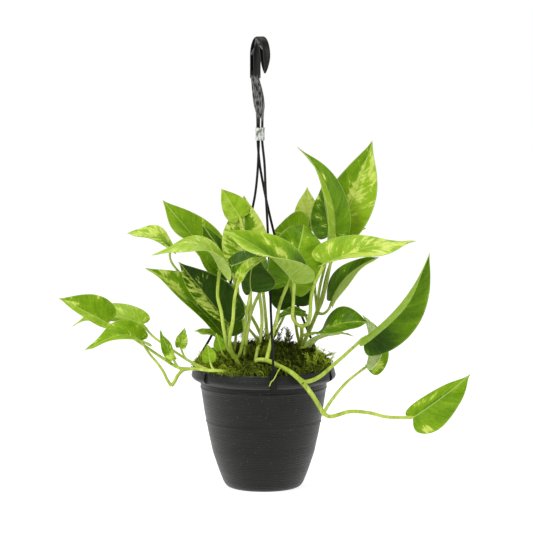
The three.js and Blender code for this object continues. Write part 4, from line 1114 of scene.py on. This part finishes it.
# ---------------------------------------------------------------- hanger
# A three-strand hanger moulded in one piece of black polypropylene. Its hook is a flanged block
# with a zigzag rib, its twisted strap splits into the strands, and each strand ends in a clip.
HOOK_CENTRE = Vector((-3.9, 0, 497.9)) * MM
HOOK_TURN = math.radians(-58)
HOOK_WIDE = 14.8
HOOK_GAP = 5.8
HOOK_BAND = 8.5
HOOK_SPRING = -7
HOOK_RISE = 22
HOOK_FOOT = -32.3
HOOK_DEPTH = 9
HOOK_FLANGE = 1.7
HOOK_WEB = 2.2
RIB_STOPS = (178, 140, 100, 60, 20)
# The prong below the arch: its middle line and half its width, in millimetres from the centre.
PRONG = [(10.75, -9, 4.2), (10.7, -13, 4), (10.6, -17, 3.5), (10.5, -20.5, 2.8), (10.4, -23.5, 1.9),
         (10.3, -25.4, 1), (10.3, -26.3, 0.35)]
PRONG_TAPERS = -5
# The strap from the hook down to the split: place, width, thickness and turn in degrees.
STRAP = [(-10.3, 9.2, 474, 8.4, 8, -58), (-9.6, 7.6, 466, 9.4, 7.4, -46), (-7.6, 4.2, 455, 11.8, 5.4, -24),
         (-5.8, 1.6, 443, 12.8, 4.2, -8), (-4.7, 0.5, 434, 12, 3.8, 0), (-4.2, 0.2, 427, 9.4, 3.6, 0),
         (-4.1, 0.2, 421, 8.8, 3.2, 0)]
STRANDS = {
    0: [(-1.2, -0.1, 424), (-1.5, 0, 410), (-1.6, 0.2, 396), (1, -6, 370), (2.4, -13, 338), (4.4, -18.5, 302),
        (5.7, -21, 276), (6.6, -21.5, 256), (7.2, -23, 238), (8.2, -44, 206), (9.8, -70, 172)],
    2: [(-7, 0.1, 424), (-6.8, 0.2, 410), (-6.7, 0.5, 396), (-4.6, 5, 370), (-0.5, 10, 345), (5, 17, 318),
        (14, 26, 280), (29, 35, 230), (49, 43, 178)],
    4: [(-5, 1.4, 424), (-5.4, 2.2, 410), (-5.4, 2.4, 396), (-7, 6, 358), (-10.6, 9, 328), (-20, 13, 290),
        (-36, 18, 238), (-54, 24, 182)],
}
STRAND_RADIUS = 1.4
CLIP_RADIUS = 80.2
CLIP_FOOT = 120.4
CLIP_TOP = 143.4
CLIP_WIDE = 7


def crook(inset):
    """The hook's outline from its side, drawn in by the inset: up the stem, over, down, and back."""
    outer, inner = HOOK_WIDE - inset, HOOK_GAP + inset
    rise = HOOK_RISE - inset
    sweep = [math.pi * step / 24 for step in range(25)]
    over = [(-outer * math.cos(turn), HOOK_SPRING + rise * math.sin(turn)) for turn in sweep]
    under = [(inner * math.cos(turn), HOOK_SPRING + (HOOK_RISE - HOOK_BAND + inset) * math.sin(turn))
             for turn in sweep]
    prong = [(x, z, half - inset) for x, z, half in PRONG if half > inset]
    down = [(x + half, z) for x, z, half in prong]
    up = [(x - half, z) for x, z, half in reversed(prong)]
    return [(-outer, HOOK_FOOT + inset), *over, *down, *up, *under, (-inner, HOOK_FOOT + inset)]


def thinned(piece):
    """Thins the prong towards its tip, where the moulding runs out to a point."""
    for vertex in piece.data.vertices:
        x, z = vertex.co.x / MM, vertex.co.y / MM
        if x > 3 and z < PRONG_TAPERS:
            share = min(1, (PRONG_TAPERS - z) / (PRONG_TAPERS - PRONG[-1][1]))
            vertex.co.z *= 1 - 0.85 * share ** 1.5
    return piece


def flat_moulding(name, outlines, thickness, rounding):
    """Outlines filled to a flat piece with rounded edges. An outline inside another is a hole."""
    line = bpy.data.curves.new(name, 'CURVE')
    line.dimensions = '2D'
    line.fill_mode = 'BOTH'
    line.extrude = (thickness / 2 - rounding) * MM
    line.bevel_depth = rounding * MM
    line.bevel_resolution = 1
    line.offset = -rounding * MM
    for outline in outlines:
        spline = line.splines.new('POLY')
        spline.points.add(len(outline) - 1)
        spline.use_cyclic_u = True
        for knot, (x, z) in zip(spline.points, outline):
            knot.co = (x * MM, z * MM, 0, 1)
    return meshed(placed(name, line))


def zigzag_ribs():
    """Thin ribs that cross the hook's pocket, from its outer wall to its inner wall and back."""
    ribs = []
    stops = [math.radians(stop) for stop in RIB_STOPS]
    for i in range(len(stops) - 1):
        ends = []
        for stop, outside in ((stops[i], i % 2 == 0), (stops[i + 1], i % 2 == 1)):
            wide = HOOK_WIDE - 1 if outside else HOOK_GAP + 1
            rise = HOOK_RISE - 1 if outside else HOOK_RISE - HOOK_BAND + 1
            ends.append(Vector((wide * math.cos(stop), HOOK_SPRING + rise * math.sin(stop))))
        along = (ends[1] - ends[0]).normalized() * 0.5
        side = Vector((-along.y, along.x))
        rib = flat_moulding("rib", [[ends[0] - side, ends[1] - side, ends[1] + side, ends[0] + side]],
                            HOOK_DEPTH - 0.4, 0.15)
        # The ribs are marked for a painted highlight along their lit edges.
        number_mesh(rib, "worn", [1] * len(rib.data.vertices))
        ribs.append(rib)
    return ribs


def wrapped(name, around, along, place):
    """A grid closed into a tube: place gives each point from its shares around and along it."""
    bpy.ops.mesh.primitive_grid_add(x_subdivisions=around, y_subdivisions=along, size=2)
    piece = bpy.context.object
    piece.name = name
    for vertex in piece.data.vertices:
        vertex.co = Vector(place((vertex.co.x + 1) / 2, (vertex.co.y + 1) / 2)) * MM
    return edited(piece, remove_doubles={'threshold': 0.005 * MM})


strap_line = on_curve(STRAP, 10)


def strap_place(round_share, along_share):
    """A point on the strap: a rounded band with fine lengthwise flutes and a stout middle rib."""
    spot = along_share * (len(strap_line) - 1)
    lower = min(int(spot), len(strap_line) - 2)
    x, y, z, width, thickness, turn = strap_line[lower].lerp(strap_line[lower + 1], spot - lower)
    angle = 2 * math.pi * round_share
    across = math.copysign(abs(math.cos(angle)) ** 0.7, math.cos(angle))
    depth = math.copysign(abs(math.sin(angle)) ** 0.5, math.sin(angle))
    flute = 1 + 0.16 * math.cos(9 * across + 2.5 * along_share) + 0.3 * math.exp(-(across / 0.16) ** 2)
    side, front = across * width / 2, depth * thickness / 2 * flute
    turn = math.radians(turn)
    return (x + side * math.cos(turn) - front * math.sin(turn),
            y + side * math.sin(turn) + front * math.cos(turn), z)


def clip():
    """One clip on +X: a flat plate with a tapered neck above, a foot below and a ledge between."""
    bpy.ops.mesh.primitive_cube_add(size=1, location=(CLIP_RADIUS * MM, 0, (CLIP_FOOT + CLIP_TOP) / 2 * MM),
                                    scale=(1.5 * MM, CLIP_WIDE * MM, (CLIP_TOP - CLIP_FOOT) * MM))
    plate = bpy.context.object
    bpy.ops.object.mode_set(mode='EDIT')
    bpy.ops.mesh.select_all(action='DESELECT')
    bpy.ops.object.mode_set(mode='OBJECT')
    for face in plate.data.polygons:
        face.select = face.normal.z > 0.9
    bpy.ops.object.mode_set(mode='EDIT')
    bpy.ops.mesh.select_mode(type='FACE')
    bpy.ops.mesh.extrude_region_move(TRANSFORM_OT_translate={'value': (0, 0, 2.4 * MM)})
    bpy.ops.transform.resize(value=(1, 0.4, 1))
    bpy.ops.mesh.select_mode(type='VERT')
    bpy.ops.object.mode_set(mode='OBJECT')
    bars = [
        # radius, height, depth, width, thickness
        (CLIP_RADIUS - 1.6, CLIP_FOOT + 0.7, 4.6, CLIP_WIDE, 1.4),
        (CLIP_RADIUS, CLIP_TOP - 5, 2.4, CLIP_WIDE + 0.6, 1),
        (CLIP_RADIUS, CLIP_TOP - 0.6, 2.2, CLIP_WIDE + 0.2, 1),
    ]
    parts = [plate]
    for radius, height, depth, width, thickness in bars:
        bpy.ops.mesh.primitive_cube_add(size=1, location=(radius * MM, 0, height * MM),
                                        scale=(depth * MM, width * MM, thickness * MM))
        parts.append(bpy.context.object)
    for part in parts:
        alone(part)
        bpy.ops.object.transform_apply(location=True, rotation=True, scale=True)
        modified(part, 'BEVEL', width=0.3 * MM, segments=2)
    return joined("clip", parts)


def black_hanger_plastic(wire):
    place = wire.place()
    height = wire.add('ShaderNodeSeparateXYZ', None, {0: place}, result='Z')
    # Painted light: the strap below the hook is painted a lighter grey in lengthwise streaks, where light
    # falls on it.
    lit_strap_streaks = height.between(0.411, 0.424) * (1 - height.between(0.465, 0.471))
    scuffs = wire.noise(wire.stretched(place, (1, 1, 0.2)), 620, 4)
    colour = (lit_strap_streaks * scuffs.between(0.4, 0.62)).painted((0.0035, 0.0035, 0.003), (0.15, 0.15, 0.14))
    # Painted highlight: the ribs are painted lighter grey, standing in for the light on their edges.
    colour = (wire.read("worn") * 0.8).painted(colour, (0.16, 0.16, 0.15))
    return {
        'Base Color': colour,
        'Roughness': 0.3 + scuffs * 0.2,
        'Specular IOR Level': 0.2,
        'Normal': wire.bump(scuffs, 0.25, 0.4 * MM),
    }


hook_parts = [
    flat_moulding("hook_wall", [crook(0), crook(HOOK_FLANGE)], HOOK_DEPTH, 0.4),
    flat_moulding("hook_web", [crook(0.5)], HOOK_WEB, 0.15),
    *zigzag_ribs(),
]
hook = thinned(joined("hook", hook_parts))
hook.rotation_euler = (math.pi / 2, 0, HOOK_TURN)
hook.location = HOOK_CENTRE
settled(hook)
strap = edited(wrapped("strap", 40, 70, strap_place), fill_holes={'sides': 0},
               normals_make_consistent={'inside': False})
first_clip = clip()
strands, clips = [], []
for pocket, route in STRANDS.items():
    turn = math.radians(POCKET_FIRST + pocket * 360 / POCKETS)
    neck = (CLIP_RADIUS * math.cos(turn), CLIP_RADIUS * math.sin(turn), CLIP_TOP)
    line = [point * MM for point in on_curve([*route, neck], 8)]
    strands.append(rod(line, [STRAND_RADIUS * MM] * len(line)))
    clips.append(placed("clip", first_clip.data.copy()))
    clips[-1].data.transform(Matrix.Rotation(turn, 4, 'Z'))
bpy.data.objects.remove(first_clip)
moulding = settled(joined("moulded_hanger", [hook, strap, *strands, *clips]), 35)
coated(moulding, finish("black_hanger_plastic", black_hanger_plastic))
handed_over(moulding, "hanger")


# ---------------------------------------------------------------- tape
# A turn of clear tape holds the three strands together below the split. It is creased where the
# strands stand out under it, and the dark plastic shows through it in places.
TAPE_MIDDLE = (-3.95, 0.4, 403)
TAPE_HEIGHT = 14.6
TAPE_RADII = (4.7, 3.9)
TAPE_WALL = 0.35


def tape_place(round_share, along_share):
    """A point on the tape, crumpled a little in and out."""
    angle = 2 * math.pi * round_share
    crease = 0.3 * noise.noise(Vector((3 * math.cos(angle), 3 * math.sin(angle), along_share * 5)))
    return (TAPE_MIDDLE[0] + (TAPE_RADII[0] + crease) * math.cos(angle),
            TAPE_MIDDLE[1] + (TAPE_RADII[1] + crease) * math.sin(angle),
            TAPE_MIDDLE[2] + (along_share - 0.5) * TAPE_HEIGHT)


def clear_tape(wire):
    place = wire.place()
    creases = wire.noise(wire.stretched(place, (1, 1, 0.5)), 420, 3)
    return {
        'Base Color': creases.ramp([(0.38, (0.12, 0.13, 0.11)), (0.5, (0.42, 0.44, 0.4)),
                                    (0.66, (0.68, 0.7, 0.65))]),
        'Roughness': 0.25 + creases * 0.2,
        'Alpha': 0.72 + creases * 0.25,
        'Normal': wire.bump(creases, 0.5, 0.6 * MM),
    }


tape = edited(wrapped("tape_turn", 48, 12, tape_place), normals_make_consistent={'inside': False})
modified(tape, 'SOLIDIFY', thickness=TAPE_WALL * MM, offset=-1)
settled(tape)
coated(tape, finish("clear_tape", clear_tape))
handed_over(tape, "tape_band")
